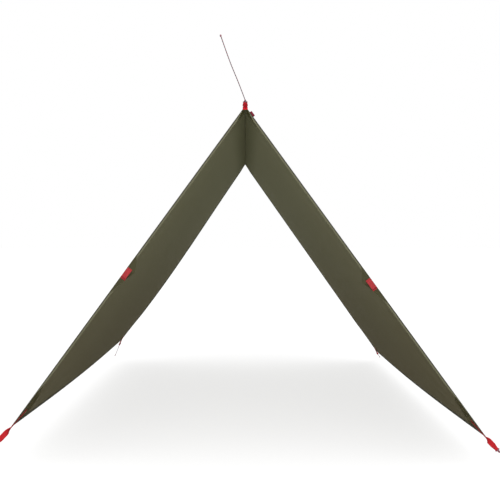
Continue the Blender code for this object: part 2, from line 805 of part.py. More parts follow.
def add_corner(
    corner: Corner, panel: Panel, collection: bpy.types.Collection, panel_hinge: bpy.types.Object
) -> None:
    """Add one corner's patch, webbing, strap and cord, and its hem's tab."""
    strap = Strap(corner, panel)
    patch = build_patch(
        f"{corner.name}_corner_patch", panel, corner.rear, False, CORNER_PATCH
    )
    adopt(patch, collection, panel_hinge, HEM_TAPE)
    adopt(build_corner_webbing(strap), collection, panel_hinge, WEBBING)

    frame = strap.frame()
    pivot = hinge(f"{corner.name}_strap_hinge", frame, collection, panel_hinge)
    name = f"{corner.name}_strap"
    adopt(
        build_strap(f"{name}_loop", frame, corner.strap_length, corner.twist),
        collection, pivot, WEBBING,
    )
    nose = frame @ Matrix.Translation((corner.strap_length, 0, 0))
    nose = nose @ Matrix.Rotation(corner.twist, 4, "X")
    for piece in build_line(name, nose, corner.route):
        adopt(piece, collection, pivot, CORD)

    frame = tab_frame(corner, panel)
    pivot = hinge(f"{corner.name}_tab_hinge", frame, collection, panel_hinge)
    adopt(build_tab(corner, frame), collection, pivot, CANOPY)
    adopt(build_tab_loop(corner, frame), collection, pivot, WEBBING)


def add_panel(
    panel: Panel, collection: bpy.types.Collection, ridge: bpy.types.Object
) -> None:
    """Add one panel with its tapes and patches, hinged on the ridge."""
    frame = frame_of(RIDGE_FRONT, Vector((1, 0, 0)), Vector((0, 1, 0)))
    pivot = hinge(f"{panel.name}_panel_hinge", frame, collection, ridge)
    adopt(build_panel(panel), collection, pivot, CANOPY)
    adopt(build_side_tape(panel), collection, pivot, HEM_TAPE)
    for corner in (panel.front, panel.rear):
        adopt(build_end_tape(panel, corner.rear), collection, pivot, HEM_TAPE)
        patch = build_patch(
            f"{corner.name}_ridge_patch", panel, corner.rear, True, RIDGE_PATCH
        )
        adopt(patch, collection, pivot, HEM_TAPE)
        add_corner(corner, panel, collection, pivot)
    if panel is RIGHT:
        adopt(build_outer_arch(), collection, pivot, WEBBING)


def add_ridge(collection: bpy.types.Collection, ridge: bpy.types.Object) -> None:
    """Add the seam, the two ridge loops and the guyline."""
    adopt(build_seam(), collection, ridge, HEM_TAPE)
    adopt(build_front_loop(), collection, ridge, WEBBING)
    nose = frame_of(Vector((0, 0, 0)), guyline_way(), Vector((1, 0, 0)))
    for piece in build_line("ridge_guyline", nose, GUYLINE_ROUTE):
        adopt(piece, collection, ridge, CORD)

    way = RIDGE_LENGTH + SEAM_REAR_NOSE + REAR_END_TO_HINGE
    origin = RIDGE_FRONT + Vector((0, way, 0))
    lifted = Vector((0, math.cos(REAR_LOOP_LIFT), math.sin(REAR_LOOP_LIFT)))
    frame = frame_of(origin, lifted, Vector((-1, 0, 0)))
    pivot = hinge("rear_ridge_loop_hinge", frame, collection, ridge)
    loop = build_strap("rear_ridge_loop", frame, REAR_LOOP_LENGTH, 0.0)
    adopt(loop, collection, pivot, WEBBING)


def main() -> None:
    """Build the tarp."""
    clear_scene()
    collection = new_collection("camping_tarp")
    ridge = bpy.data.objects.new("ridge", None)
    collection.objects.link(ridge)
    add_ridge(collection, ridge)
    for panel in (LEFT, RIGHT):
        add_panel(panel, collection, ridge)
    for obj in collection.objects:
        if obj.type == "MESH":
            obj.data.shade_smooth()


main()
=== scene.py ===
"""Looks of a camping tarp pitched as an A-frame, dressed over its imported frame, in metres.

The origin is the eye of the front ridge loop, +Y runs along the ridge to the rear, +X is the
right-hand side seen from the front and +Z is up. A place on a panel's cloth is "along", the way
along the ridge from the front hem, and "down", the way down the slope from the ridge, with a
height from the panel's middle plane, positive towards the weather side. Each vertex keeps its
place on its own cloth in the attribute CLOTH_PLACE, which the finishes read for their weave.
"""

import logging
import math
import random
from collections.abc import Callable, Sequence
from dataclasses import dataclass, field, replace
from enum import Enum
from functools import cached_property
from itertools import accumulate

import bpy
from mathutils import Matrix, Vector, noise


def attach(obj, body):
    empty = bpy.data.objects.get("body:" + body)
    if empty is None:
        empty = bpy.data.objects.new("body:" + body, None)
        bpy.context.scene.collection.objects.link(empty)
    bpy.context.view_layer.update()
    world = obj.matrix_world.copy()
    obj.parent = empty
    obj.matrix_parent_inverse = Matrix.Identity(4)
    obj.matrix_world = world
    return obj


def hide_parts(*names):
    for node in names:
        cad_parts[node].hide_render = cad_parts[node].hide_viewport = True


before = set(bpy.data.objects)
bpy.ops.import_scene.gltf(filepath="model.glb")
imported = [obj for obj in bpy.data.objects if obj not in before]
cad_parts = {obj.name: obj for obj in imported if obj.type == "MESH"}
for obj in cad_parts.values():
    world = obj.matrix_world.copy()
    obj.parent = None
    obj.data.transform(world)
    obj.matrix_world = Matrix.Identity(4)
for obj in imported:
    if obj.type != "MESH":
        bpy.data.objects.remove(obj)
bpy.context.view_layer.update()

log = logging.getLogger("camping_tarp")
Node = bpy.types.Node
Socket = bpy.types.NodeSocket
Object = bpy.types.Object
Pair = tuple[float, float]
Triple = tuple[float, float, float]
Place = Callable[[float, float], Vector]
Spot = Callable[[float, float], Pair]
Line = Sequence[Vector]

CLOTH_PLACE = "cloth_place"
PHOTO_SIZE = 500
WHITE = (1.0, 1.0, 1.0)
SIDES = {-1: "left", 1: "right"}
TURN = math.pi / 2

# Fabric and pitch, as in the frame
RIDGE_LENGTH = 3.0
PANEL_DEPTH = 1.5
RIDGE_FRONT = Vector((0, 0.040, -0.010))
FLOOR_HEIGHT = -1.355
PANEL_THICKNESS = 0.0005
TAPE_THICKNESS = 0.0004
TAB_THICKNESS = 0.0008
WEBBING_THICKNESS = 0.0012
WEBBING_HALF = WEBBING_THICKNESS / 2
LAYER_GAP = 0.0003
TAPE_WIDTH = 0.020
TAPE_HEIGHT = PANEL_THICKNESS / 2 + LAYER_GAP + TAPE_THICKNESS / 2
TAPE_TOP = TAPE_HEIGHT + TAPE_THICKNESS / 2
TAPE_FOLD = LAYER_GAP + TAPE_THICKNESS / 2
WEBBING_HEIGHT = TAPE_TOP + LAYER_GAP + WEBBING_HALF
WEBBING_WIDTH = 0.020
SELVEDGE = 0.0004
CORD_DIAMETER = 0.003
CORD_RADIUS = CORD_DIAMETER / 2
NOSE_WIDTH_SHARE = 0.60

# Sewing
ROW_STITCH = 0.0007
TACK_STITCH = 0.0009
TACK_REACH = 0.0078
TACK_TURNS = 22
TACK_HALF = 0.0011
TACK_LEAN = 0.0004

GUYLINE_ROUTE = (
    (0.0000, -0.0132, 0.0054), (-0.0235, -0.1280, 0.0505),
    (-0.0520, -0.2580, 0.1025), (-0.0800, -0.4000, 0.1615),
)
FRONT_LEFT_ROUTE = (
    (-0.9246, -0.0487, -1.2694), (-0.9497, -0.0950, -1.2978),
    (-0.9749, -0.1412, -1.3250), (-0.9960, -0.1800, -1.3475),
)
FRONT_RIGHT_ROUTE = (
    (0.9349, -0.0340, -1.2912), (0.9517, -0.0702, -1.3100),
    (0.9685, -0.1064, -1.3287), (0.9853, -0.1426, -1.3475),
)
REAR_LEFT_ROUTE = (
    (-0.8694, 3.1231, -1.2512), (-0.8885, 3.1930, -1.2852),
    (-0.9076, 3.2629, -1.3180), (-0.9260, 3.3303, -1.3475),
)
REAR_RIGHT_ROUTE = (
    (0.9164, 3.1273, -1.3141), (0.9260, 3.1640, -1.3262),
    (0.9356, 3.2008, -1.3375), (0.9450, 3.2366, -1.3475),
)


def spread(first: float, last: float, cells: int) -> list[float]:
    """Return evenly spaced values from first to last, both included."""
    return [first + (last - first) * step / cells for step in range(cells + 1)]


def eased(value: float, start: float, end: float) -> float:
    """Return 0 before start, 1 after end and a smooth rise between them."""
    share = min(1.0, max(0.0, (value - start) / (end - start)))
    return share * share * (3 - 2 * share)


def frame_of(origin: Vector, forward: Vector, across: Vector) -> Matrix:
    """Return the frame at origin whose X is forward, Y across and Z square to both."""
    x = forward.normalized()
    z = x.cross(across).normalized()
    made = Matrix((x, z.cross(x), z)).transposed().to_4x4()
    made.translation = origin
    return made


def linked(name: str, data: bpy.types.ID) -> Object:
    """Return a new object with this data, linked to the scene."""
    obj = bpy.data.objects.new(name, data)
    bpy.context.scene.collection.objects.link(obj)
    return obj


def runs_of(line: Line) -> list[float]:
    """Return how far along a line each of its points lies."""
    return list(accumulate(((b - a).length for a, b in zip(line, line[1:])), initial=0.0))


def smooth_through(route: Sequence[Triple], spacing: float) -> list[Vector]:
    """Return points on a smooth curve through a route.

    Args:
        route: The points that the curve passes, in order.
        spacing: The way between two returned points, in metres.

    Returns:
        The curve's points, with the route's first and last point at its ends.
    """
    knots = [Vector(point) for point in route]
    padded = [2 * knots[0] - knots[1], *knots, 2 * knots[-1] - knots[-2]]
    points = [knots[0]]
    for a, b, c, d in zip(padded, padded[1:], padded[2:], padded[3:]):
        for share in spread(0, 1, max(1, round((c - b).length / spacing)))[1:]:
            linear = (c - a) * share
            square = (2 * a - 5 * b + 4 * c - d) * share**2
            cube = (3 * b - a - 3 * c + d) * share**3
            points.append(b + (linear + square + cube) / 2)
    return points


WEBBING_COLUMNS = spread(-WEBBING_WIDTH / 2, WEBBING_WIDTH / 2, 6)


# Shader nodes and the node groups that several finishes share


@dataclass
class NodeSheet:
    """A node tree that is being filled, with short calls for its nodes and links."""

    tree: bpy.types.NodeTree

    def feed(self, target: Socket, value: object) -> None:
        """Set an input from a node's first output, a socket, a colour or a number, if any."""
        if isinstance(value, Node):
            value = value.outputs[0]
        if isinstance(value, Socket):
            self.tree.links.new(value, target)
        elif value is not None:
            target.default_value = (*value, 1.0) if isinstance(value, tuple) else value

    def add(self, kind: str, *values: object, **settings: object) -> Node:
        """Add a shader node.

        Args:
            kind: The name of its type after ShaderNode.
            values: What its first inputs are fed, in order, with None to pass one over.
            settings: Its properties.

        Returns:
            The node.
        """
        node = self.tree.nodes.new(f"ShaderNode{kind}")
        for name, value in settings.items():
            setattr(node, name, value)
        for socket, value in zip(node.inputs, values):
            self.feed(socket, value)
        return node

    def math(self, operation: str, *values: object) -> Node:
        """Return a Math node on these values."""
        return self.add("Math", *values, operation=operation)

    def times(self, first: object, second: object) -> Node:
        """Return the product of two values."""
        return self.math("MULTIPLY", first, second)

    def wave(self, turns: object, kind: str = "SINE") -> Node:
        """Return the sine, or the cosine, of this many turns."""
        return self.math(kind, self.times(turns, math.tau))

    def ramp(self, *values: object) -> Node:
        """Return a value moved smoothly from low..high to bottom..top, or else to 0..1."""
        return self.add("MapRange", *values, interpolation_type="SMOOTHSTEP")

    def mix(self, share: object, first: object, second: object) -> Socket:
        """Return the colour between first and second at this share."""
        passed_over = [None] * 5
        return self.add("Mix", share, *passed_over, first, second, data_type="RGBA").outputs[2]

    def noise(self, vector: Socket, scale: object, detail: float, roughness: float = 0.5) -> Node:
        """Return a noise texture, whose value is about 0.5 on average."""
        return self.add("TexNoise", vector, None, scale, detail, roughness)

    def parts(self, vector: Socket) -> Sequence[Socket]:
        """Return a vector's X, Y and Z."""
        return self.add("SeparateXYZ", vector).outputs

    def by_ray(self, plain: Node, seen: Node) -> Node:
        """Return a shader that is seen by the camera and in reflections, and else plain."""
        rays = self.add("LightPath").outputs
        look = self.math("MAXIMUM", rays["Is Camera Ray"], rays["Is Glossy Ray"])
        return self.add("MixShader", look, plain, seen)


@dataclass
class Dressing(NodeSheet):
    """A material's node tree, with its Principled shader and the place on its cloth."""

    shader: Node
    cloth: Socket

    def paint(self, **values: object) -> None:
        """Feed the shader's inputs by name, with "_" for a space."""
        for name, value in values.items():
            self.feed(self.shader.inputs[name.replace("_", " ")], value)

    def lift(self, *bumps: tuple[object, float]) -> None:
        """Feed bumps to the shader's normal, each a height and its depth in metres."""
        normal = None
        for height, depth in bumps:
            bump = self.add("Bump")
            given = {"Strength": 1.0, "Distance": depth, "Height": height, "Normal": normal}
            for name, value in given.items():
                self.feed(bump.inputs[name], value)
            normal = bump
        self.paint(Normal=normal)


@dataclass(frozen=True)
class Group:
    """A shader node group over a cloth's place, built on first use and shared."""

    name: str
    inputs: tuple[str, ...]
    fill: Callable[..., dict[str, object]]

    def tree(self) -> bpy.types.NodeTree:
        """Return the group's node tree, whose outputs fill makes from its inputs."""
        found = bpy.data.node_groups.get(self.name)
        if found:
            return found
        tree = bpy.data.node_groups.new(self.name, "ShaderNodeTree")
        tree.interface.new_socket("Cloth", in_out="INPUT", socket_type="NodeSocketVector")
        for name in self.inputs:
            tree.interface.new_socket(name, in_out="INPUT", socket_type="NodeSocketFloat")
        sheet = NodeSheet(tree)
        source = tree.nodes.new("NodeGroupInput")
        made = self.fill(sheet, *source.outputs[: len(self.inputs) + 1])
        for name in made:
            tree.interface.new_socket(name, in_out="OUTPUT", socket_type="NodeSocketFloat")
        target = tree.nodes.new("NodeGroupOutput")
        for name, value in made.items():
            sheet.feed(target.inputs[name], value)
        return tree

    def place(self, sheet: Dressing, *values: float) -> Sequence[Socket]:
        """Place the group in a material with these inputs after the cloth; return its outputs."""
        return sheet.add("Group", sheet.cloth, *values, node_tree=self.tree()).outputs


def soft_mottle(sheet: NodeSheet, cloth: Socket, broad: Socket, fine: Socket) -> dict[str, Node]:
    """Broad clouds of slightly uneven dye, and fine crinkle."""
    return {"Broad": sheet.noise(cloth, broad, 3.0), "Fine": sheet.noise(cloth, fine, 4.0, 0.62)}


def ripstop_weave(sheet: NodeSheet, cloth: Socket, yarn: Socket, grid: Socket) -> dict[str, Node]:
    """A plain weave with thicker yarns in a square grid."""
    ways = sheet.parts(cloth)[:2]
    waves = [sheet.wave(sheet.math("DIVIDE", way, yarn)) for way in ways]
    crests = [sheet.wave(sheet.math("DIVIDE", way, grid), "COSINE") for way in ways]
    line = sheet.math("MAXIMUM", *(sheet.ramp(crest, 0.86, 1.0) for crest in crests))
    raised = sheet.times(line, 0.8)
    weave = sheet.math("MULTIPLY_ADD", sheet.times(*waves), 0.18, raised)
    return {"Height": weave, "Lines": line}


def ribbed_weave(sheet: NodeSheet, cloth: Socket, rib: Socket, yarn: Socket) -> dict[str, Node]:
    """Ribs across a tape or webbing, with warp yarns that pass over and under them."""
    x, y, _ = sheet.parts(cloth)
    across = sheet.math("DIVIDE", y, yarn)
    odd = sheet.times(sheet.math("MODULO", sheet.math("FLOOR", across), 2.0), 0.5)
    over = sheet.wave(sheet.math("ADD", sheet.math("DIVIDE", x, rib), odd))
    yarn_top = sheet.math("ABSOLUTE", sheet.wave(sheet.times(across, 0.5)))
    lifted = sheet.math("MULTIPLY_ADD", over, 0.5, 0.5)
    height = sheet.times(sheet.math("POWER", yarn_top, 0.5), lifted)
    return {"Height": height, "Gaps": sheet.ramp(height, 0.05, 0.42, 1.0, 0.0)}


def braided_sheath(
    sheet: NodeSheet, cloth: Socket, carriers: Socket, pitch: Socket, fleck: Socket
) -> dict[str, Node]:
    """A braided cord: X is the turn round it and Y the way along it."""
    turn, y, _ = sheet.parts(cloth)
    way = sheet.math("DIVIDE", y, pitch)
    leans = [sheet.math("MULTIPLY_ADD", way, sign, turn) for sign in (1.0, -1.0)]
    waves = [sheet.wave(sheet.times(lean, carriers)) for lean in leans]
    tracer = sheet.math("DIVIDE", y, fleck)
    dark = sheet.ramp(sheet.wave(sheet.math("ADD", tracer, turn)), 0.15, 0.40)
    bright = sheet.ramp(sheet.wave(sheet.math("SUBTRACT", tracer, turn)), 0.55, 0.80)
    return {"Height": sheet.times(*waves), "Dark": dark, "Bright": bright}


def edge_scuff(sheet: NodeSheet, cloth: Socket, half: Socket, reach: Socket) -> dict[str, Node]:
    """Fuzzy wear along both long edges of a strip, broken up by noise."""
    inside = sheet.math("SUBTRACT", half, sheet.math("ABSOLUTE", sheet.parts(cloth)[1]))
    edge = sheet.ramp(sheet.math("DIVIDE", inside, reach), 0.0, 1.0, 1.0, 0.0)
    broken = sheet.ramp(sheet.noise(cloth, 900.0, 3.0), 0.42, 0.66)
    return {"Wear": sheet.times(edge, broken)}


MOTTLE = Group("soft_mottle", ("Broad", "Fine"), soft_mottle)
RIPSTOP = Group("ripstop_weave", ("Yarn", "Grid"), ripstop_weave)
RIBS = Group("ribbed_weave", ("Rib", "Yarn"), ribbed_weave)
BRAID = Group("braided_sheath", ("Carriers", "Pitch", "Fleck"), braided_sheath)
SCUFF = Group("edge_scuff", ("Half Width", "Reach"), edge_scuff)


# Finishes


@dataclass(frozen=True)
class Finish:
    """A material of the tarp, made once and given to each piece that has it."""

    name: str
    color: Triple
    shade: Triple
    roughness: float
    slot: str
    bump: float = 0.0002
    sheen: float = 0.0
    specular: float = 0.15

    def material(self) -> bpy.types.Material:
        """Return the finish's material, built on first use."""
        found = bpy.data.materials.get(self.name)
        if found:
            return found
        made = bpy.data.materials.new(self.name)
        made.use_nodes = True
        made.diffuse_color = (*self.color, 1.0)
        tree = made.node_tree
        place = NodeSheet(tree).add("Attribute", attribute_name=CLOTH_PLACE).outputs["Vector"]
        sheet = Dressing(tree, tree.nodes["Principled BSDF"], place)
        sheet.paint(Roughness=self.roughness, Specular_IOR_Level=self.specular)
        sheet.paint(Sheen_Weight=self.sheen)
        self.dress(sheet)
        return made

    def dress(self, sheet: Dressing) -> None:
        """Lay the finish's pattern; a plain finish has only slight mottling."""
        _, fine = MOTTLE.place(sheet, 40.0, 900.0)
        sheet.paint(Base_Color=sheet.mix(fine, self.shade, self.color))
        sheet.lift((fine, self.bump))


@dataclass(frozen=True)
class CoatedNylon(Finish):
    """Ripstop nylon with a silicone coating: fine crinkles and a faint satin shine."""

    yarn: float = 0.00036
    grid: float = 0.0050
    crinkle: float = 0.0009
    through: float = 0.5
    glow: Triple = (0.600, 0.595, 0.460)
    low_glow: Triple = (0.470, 0.440, 0.330)
    # The colour towards which the cloth turns darker and browner lower down the slope.
    lower_tone: Triple = (0.110, 0.096, 0.052)
    # The next two colours are painted shade: the colour and the glow of the cloth near the ridge,
    # where the panels shade each other.
    fold: Triple = (0.066, 0.066, 0.031)
    ridge_shade_glow: Triple = (0.460, 0.460, 0.335)

    def dress(self, sheet: Dressing) -> None:
        """Lay dye, ripstop, crinkles and painted shade at the ridge; let light show through."""
        broad, fine = MOTTLE.place(sheet, 2.6, 46.0)
        height, lines = RIPSTOP.place(sheet, self.yarn, self.grid)
        lined = tuple(0.72 * part for part in self.shade)
        color = sheet.mix(sheet.ramp(broad, 0.30, 0.70), self.shade, self.color)
        color = sheet.mix(sheet.times(lines, 0.22), color, lined)
        down = sheet.parts(sheet.cloth)[1]
        # Darker and browner lower down the slope, in colour and in the glow through the cloth.
        low = sheet.ramp(down, 0.10, 1.55)
        # Painted shade: the colour and the glow darken towards the ridge.
        out_of_ridge_shade = sheet.ramp(down, 0.00, 0.12)
        color = sheet.mix(out_of_ridge_shade, self.fold, color)
        gloss = sheet.ramp(fine, 0.25, 0.75, self.roughness - 0.07, self.roughness + 0.07)
        sheet.paint(Base_Color=sheet.mix(low, color, self.lower_tone), Roughness=gloss)
        sheet.lift((fine, self.crinkle), (height, self.bump))
        glow = sheet.mix(out_of_ridge_shade, self.ridge_shade_glow, self.glow)
        soft = sheet.add("BsdfTranslucent", sheet.mix(low, glow, self.low_glow))
        output = next(node for node in sheet.tree.nodes if node.type == "OUTPUT_MATERIAL")
        both = sheet.add("MixShader", self.through, sheet.shader, soft)
        sheet.feed(output.inputs["Surface"], both)


@dataclass(frozen=True)
class WovenStrip(Finish):
    """Tape or webbing with ribs across it, darker between the yarns and worn at its edges."""

    rib: float = 0.0016
    yarn: float = 0.0013
    half_width: float = WEBBING_WIDTH / 2
    wear_reach: float = 0.0016
    gap_share: float = 0.55
    wear: float = 0.35

    def dress(self, sheet: Dressing) -> None:
        """Lay the ribs, the gaps between yarns and the edge wear."""
        height, gaps = RIBS.place(sheet, self.rib, self.yarn)
        broad, fine = MOTTLE.place(sheet, 30.0, 1400.0)
        (worn,) = SCUFF.place(sheet, self.half_width, self.wear_reach)
        color = sheet.mix(sheet.ramp(broad, 0.3, 0.7, 0.0, 0.35), self.color, self.shade)
        color = sheet.mix(sheet.times(gaps, self.gap_share), color, self.shade)
        pale = tuple(min(1.0, 0.12 + 0.85 * part) for part in self.color)
        color = sheet.mix(sheet.times(worn, self.wear), color, pale)
        sheet.paint(Base_Color=self.tint(sheet, color))
        sheet.lift((height, self.bump), (fine, self.bump / 4))

    def tint(self, sheet: Dressing, color: Socket) -> Socket:
        """Return the colour as it is, for a strip of one tone."""
        return color


@dataclass(frozen=True)
class FoldedTape(WovenStrip):
    """A hem tape with a line of painted shade along the fold where it turns round its hem."""

    fold_shade_starts: float = -0.0180
    fold_shade_ends: float = -0.0022
    fade: float = 0.0024
    painted_fold_shade: Triple = (0.050, 0.048, 0.034)

    def tint(self, sheet: Dressing, color: Socket) -> Socket:
        """Return the colour with the painted shade line along the fold laid on it."""
        across = sheet.parts(sheet.cloth)[1]
        inside = sheet.ramp(across, self.fold_shade_starts, self.fold_shade_starts + self.fade)
        line = sheet.ramp(across, self.fold_shade_ends - self.fade, self.fold_shade_ends, 1.0, 0.0)
        return sheet.mix(sheet.times(inside, line), color, self.painted_fold_shade)


@dataclass(frozen=True)
class BraidedCord(Finish):
    """A braided cord with dark and bright tracer yarns."""

    bright: Triple = (0.55, 0.05, 0.07)
    carriers: float = 4.0
    pitch: float = 0.010
    fleck: float = 0.018

    def dress(self, sheet: Dressing) -> None:
        """Lay the braid and its tracers."""
        height, dark, bright = BRAID.place(sheet, self.carriers, self.pitch, self.fleck)
        color = sheet.mix(bright, sheet.mix(dark, self.color, self.shade), self.bright)
        sheet.paint(Base_Color=color)
        sheet.lift((height, self.bump))


CANOPY = CoatedNylon(
    "canopy_nylon", (0.100, 0.096, 0.050), (0.086, 0.082, 0.042), 0.80, "canopy",
    bump=0.00008, sheen=0.02, specular=0.08,
)
# Painted light: the same nylon given a paler colour and a near-white glow, so the shaded patches
# look as bright as the cloth.
LIT_PATCH = CoatedNylon(
    "painted_light_patch_nylon", (0.250, 0.240, 0.135), (0.215, 0.206, 0.114), 0.80, "hem_tape",
    bump=0.00010, specular=0.08, crinkle=0.0004, grid=0.0040, through=0.80,
    glow=(0.94, 0.94, 0.84), low_glow=(0.93, 0.93, 0.86), fold=(0.235, 0.226, 0.125),
    ridge_shade_glow=(0.94, 0.94, 0.84),
)
TAB_CLOTH = CoatedNylon(
    "tab_nylon", (0.100, 0.095, 0.050), (0.084, 0.080, 0.041), 0.80, "canopy",
    bump=0.00010, specular=0.08, crinkle=0.0004, grid=0.0040, through=0.35,
    fold=(0.100, 0.095, 0.050), ridge_shade_glow=(0.600, 0.595, 0.460),
)
TAPE = FoldedTape(
    "hem_tape_weave", (0.176, 0.172, 0.108), (0.122, 0.120, 0.073), 0.82, "hem_tape",
    bump=0.00012, rib=0.0010, yarn=0.0008, gap_share=0.35, wear=0.10,
)
# A painted-shade copy of the hem tape, for the rear and side hems, which lie in shade.
SHADED_TAPE = WovenStrip(
    "painted_shade_hem_tape_weave", (0.062, 0.060, 0.037), (0.046, 0.045, 0.028), 0.82, "hem_tape",
    bump=0.00012, rib=0.0010, yarn=0.0008, gap_share=0.35, wear=0.05,
)
RED_WEBBING = WovenStrip(
    "red_webbing_weave", (0.600, 0.019, 0.027), (0.330, 0.010, 0.015), 0.78, "webbing",
    bump=0.00016, sheen=0.02, gap_share=0.32,
)
FADED_WEBBING = replace(
    RED_WEBBING, name="faded_red_webbing_weave",
    color=(0.490, 0.047, 0.053), shade=(0.270, 0.024, 0.028),
)
# A painted-light copy of the red webbing, for the front ridge loop, on which the front light falls.
LIT_RED_WEBBING = replace(
    RED_WEBBING, name="painted_light_red_webbing_weave",
    color=(0.950, 0.018, 0.036), shade=(0.560, 0.012, 0.022),
    bump=0.00014, gap_share=0.30, wear=0.15,
)
# A painted-shade copy of the red webbing, for the loop on the right panel's weather side, which
# lies in shade.
SHADED_RED_WEBBING = replace(
    RED_WEBBING, name="painted_shade_red_webbing_weave",
    color=(0.220, 0.018, 0.040), shade=(0.120, 0.010, 0.022), roughness=0.80, wear=0.10,
)
THREAD = Finish(
    "olive_thread", (0.200, 0.195, 0.110), (0.130, 0.126, 0.070), 0.70, "hem_tape", bump=0.00005
)
RED_THREAD = Finish(
    "red_thread", (0.480, 0.010, 0.018), (0.260, 0.005, 0.010), 0.70, "webbing", bump=0.00005
)
CORD = BraidedCord(
    "speckled_cord_braid", (0.400, 0.330, 0.390), (0.045, 0.035, 0.050), 0.78, "cord",
    bump=0.00020,
)


# Shapes and pieces


@dataclass
class Shape:
    """Vertices and faces in metres, with each vertex's place on its own cloth."""

    points: list[Vector] = field(default_factory=list)
    faces: list[tuple[int, ...]] = field(default_factory=list)
    cloth: list[Triple] = field(default_factory=list)

    def lattice(self, first: int, width: int, rows: int, ring: bool, closed: bool) -> None:
        """Add the faces between rows of vertices.

        Args:
            first: The first vertex of the first row.
            width: How many vertices a row has.
            rows: How many rows there are.
            ring: Whether each row joins on itself.
            closed: Whether the last row joins the first.
        """
        for row in range(rows - 1 + closed):
            here, there = first + row * width, first + (row + 1) % rows * width
            for column in range(width - 1 + ring):
                beside = (column + 1) % width
                self.faces.append((here + column, here + beside, there + beside, there + column))

    def grid(
        self, columns: Sequence[float], rows: Sequence[float], place: Place,
        cloth: Spot = lambda column, row: (column, row), closed: bool = False,
    ) -> "Shape":
        """Add a sheet.

        Args:
            columns: Its columns' values.
            rows: Its rows' values.
            place: Where the vertex at a column and a row lies.
            cloth: That vertex's place on its own cloth.
            closed: Whether its last row joins the first.

        Returns:
            This shape.
        """
        self.lattice(len(self.points), len(columns), len(rows), False, closed)
        for row in rows:
            self.points += [place(column, row) for column in columns]
            self.cloth += [(*cloth(column, row), 0.0) for column in columns]
        return self

    def tube(self, points: Line, radius: float, sides: int, closed: bool = False) -> "Shape":
        """Add a round tube along these points, joined on itself or capped; return this shape."""
        first, last, run = len(self.points), len(points) - 1, 0.0
        self.lattice(first, sides, len(points), True, closed)
        if not closed:
            end = first + last * sides
            self.faces.append(tuple(range(first + sides - 1, first - 1, -1)))
            self.faces.append(tuple(range(end, end + sides)))
        for index, point in enumerate(points):
            after = points[(index + 1) % len(points) if closed else min(last, index + 1)]
            way = (after - points[index - 1 if closed else max(0, index - 1)]).normalized()
            normal = normal if index else way.orthogonal()
            normal = (normal - way * normal.dot(way)).normalized()
            across = way.cross(normal)
            run += (point - points[index - 1]).length if index else 0.0
            for side in range(sides):
                angle = math.tau * side / sides
                offset = normal * math.cos(angle) + across * math.sin(angle)
                self.points.append(point + offset * radius)
                self.cloth.append((side / sides, run, 0.0))
        return self

    def stitch(self, start: Vector, end: Vector, up: Vector, width: float) -> None:
        """Add one short stitch of thread, from start to end, bulging along up."""
        first, middle, up = len(self.points), (start + end) / 2, up.normalized()
        across = (end - start).cross(up).normalized() * (width / 2)
        high, sunk = up * (width * 0.55), up * (-width * 0.35)
        self.points += [start + sunk, middle + across, middle + high, middle - across]
        self.points += [end + sunk, middle + sunk]
        reach = (end - start).length
        places = ((0, 0), (0.5, width), (0.5, 0), (0.5, -width), (1, 0), (0.5, 0))
        self.cloth += [(reach * share, aside, 0) for share, aside in places]
        ring = [first + 1, first + 2, first + 3, first + 5]
        for one, other in zip(ring, ring[1:] + ring[:1]):
            self.faces += [(first, one, other), (first + 4, other, one)]

    def bar_tack(self, place: Place, up: Vector, way: float) -> None:
        """Add a dense zigzag of thread across a webbing.

        Args:
            place: The place on the webbing's face at a way and an aside.
            up: The direction in which the thread stands out.
            way: The way along the webbing at which the tack lies.
        """
        for index in range(TACK_TURNS):
            aside = -TACK_REACH + 2 * TACK_REACH * (index + 0.5) / TACK_TURNS
            lean = TACK_LEAN if index % 2 else -TACK_LEAN
            start, end = place(way - TACK_HALF, aside - lean), place(way + TACK_HALF, aside + lean)
            self.stitch(start, end, up, TACK_STITCH)

    def to_object(self, name: str) -> Object:
        """Return an object with this shape, smoothly shaded and linked to the scene."""
        mesh = bpy.data.meshes.new(name)
        mesh.from_pydata([tuple(point) for point in self.points], [], self.faces)
        places = mesh.attributes.new(CLOTH_PLACE, "FLOAT_VECTOR", "POINT")
        places.data.foreach_set("vector", [part for place in self.cloth for part in place])
        mesh.update()
        mesh.shade_smooth()
        return linked(name, mesh)


@dataclass(frozen=True)
class Piece:
    """What a finished piece is called, rides on and is made of; thread stands for no node."""

    node: str
    kind: str
    body: str
    finish: Finish

    def make(self, shape: Shape, thickness: float = 0.0, rounded: float = 0.0) -> Object:
        """Build a shape as this piece.

        Args:
            shape: The piece's shape, a sheet if it has a thickness.
            thickness: How thick the sheet is, in metres, both ways from its middle.
            rounded: How far its rim is rounded, in metres.

        Returns:
            The piece's object.
        """
        obj = shape.to_object(f"{self.node}_{self.kind}")
        if thickness:
            solid = obj.modifiers.new("cloth", "SOLIDIFY")
            solid.thickness, solid.offset, solid.use_even_offset = thickness, 0, True
        if rounded:
            bevel = obj.modifiers.new("selvedge", "BEVEL")
            bevel.width, bevel.segments, bevel.limit_method = rounded, 2, "ANGLE"
            bevel.angle_limit = math.radians(60)
        obj.data.materials.append(self.finish.material())
        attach(obj, self.body)
        if self.kind != "thread":
            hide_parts(self.node)
        log.info("%s: %d vertices on %s", obj.name, len(obj.data.vertices), self.body)
        return obj


def lay_webbing(
    piece: Piece, line: Line, place: Callable[[Vector, float], Vector],
    runs: Sequence[float] = (),
) -> None:
    """Build webbing along a folded line.

    Args:
        piece: The webbing's piece.
        line: The line that the webbing's middle follows.
        place: Where the webbing lies at a point of the line and this far aside.
        runs: How far along its weave each point lies, or the way along the line if empty.
    """
    runs = runs or runs_of(line)
    shape = Shape().grid(
        range(len(line)), WEBBING_COLUMNS,
        lambda at, aside: place(line[at], aside), lambda at, aside: (runs[at], aside),
    )
    piece.make(shape, WEBBING_THICKNESS, SELVEDGE)


# The pitched cloth


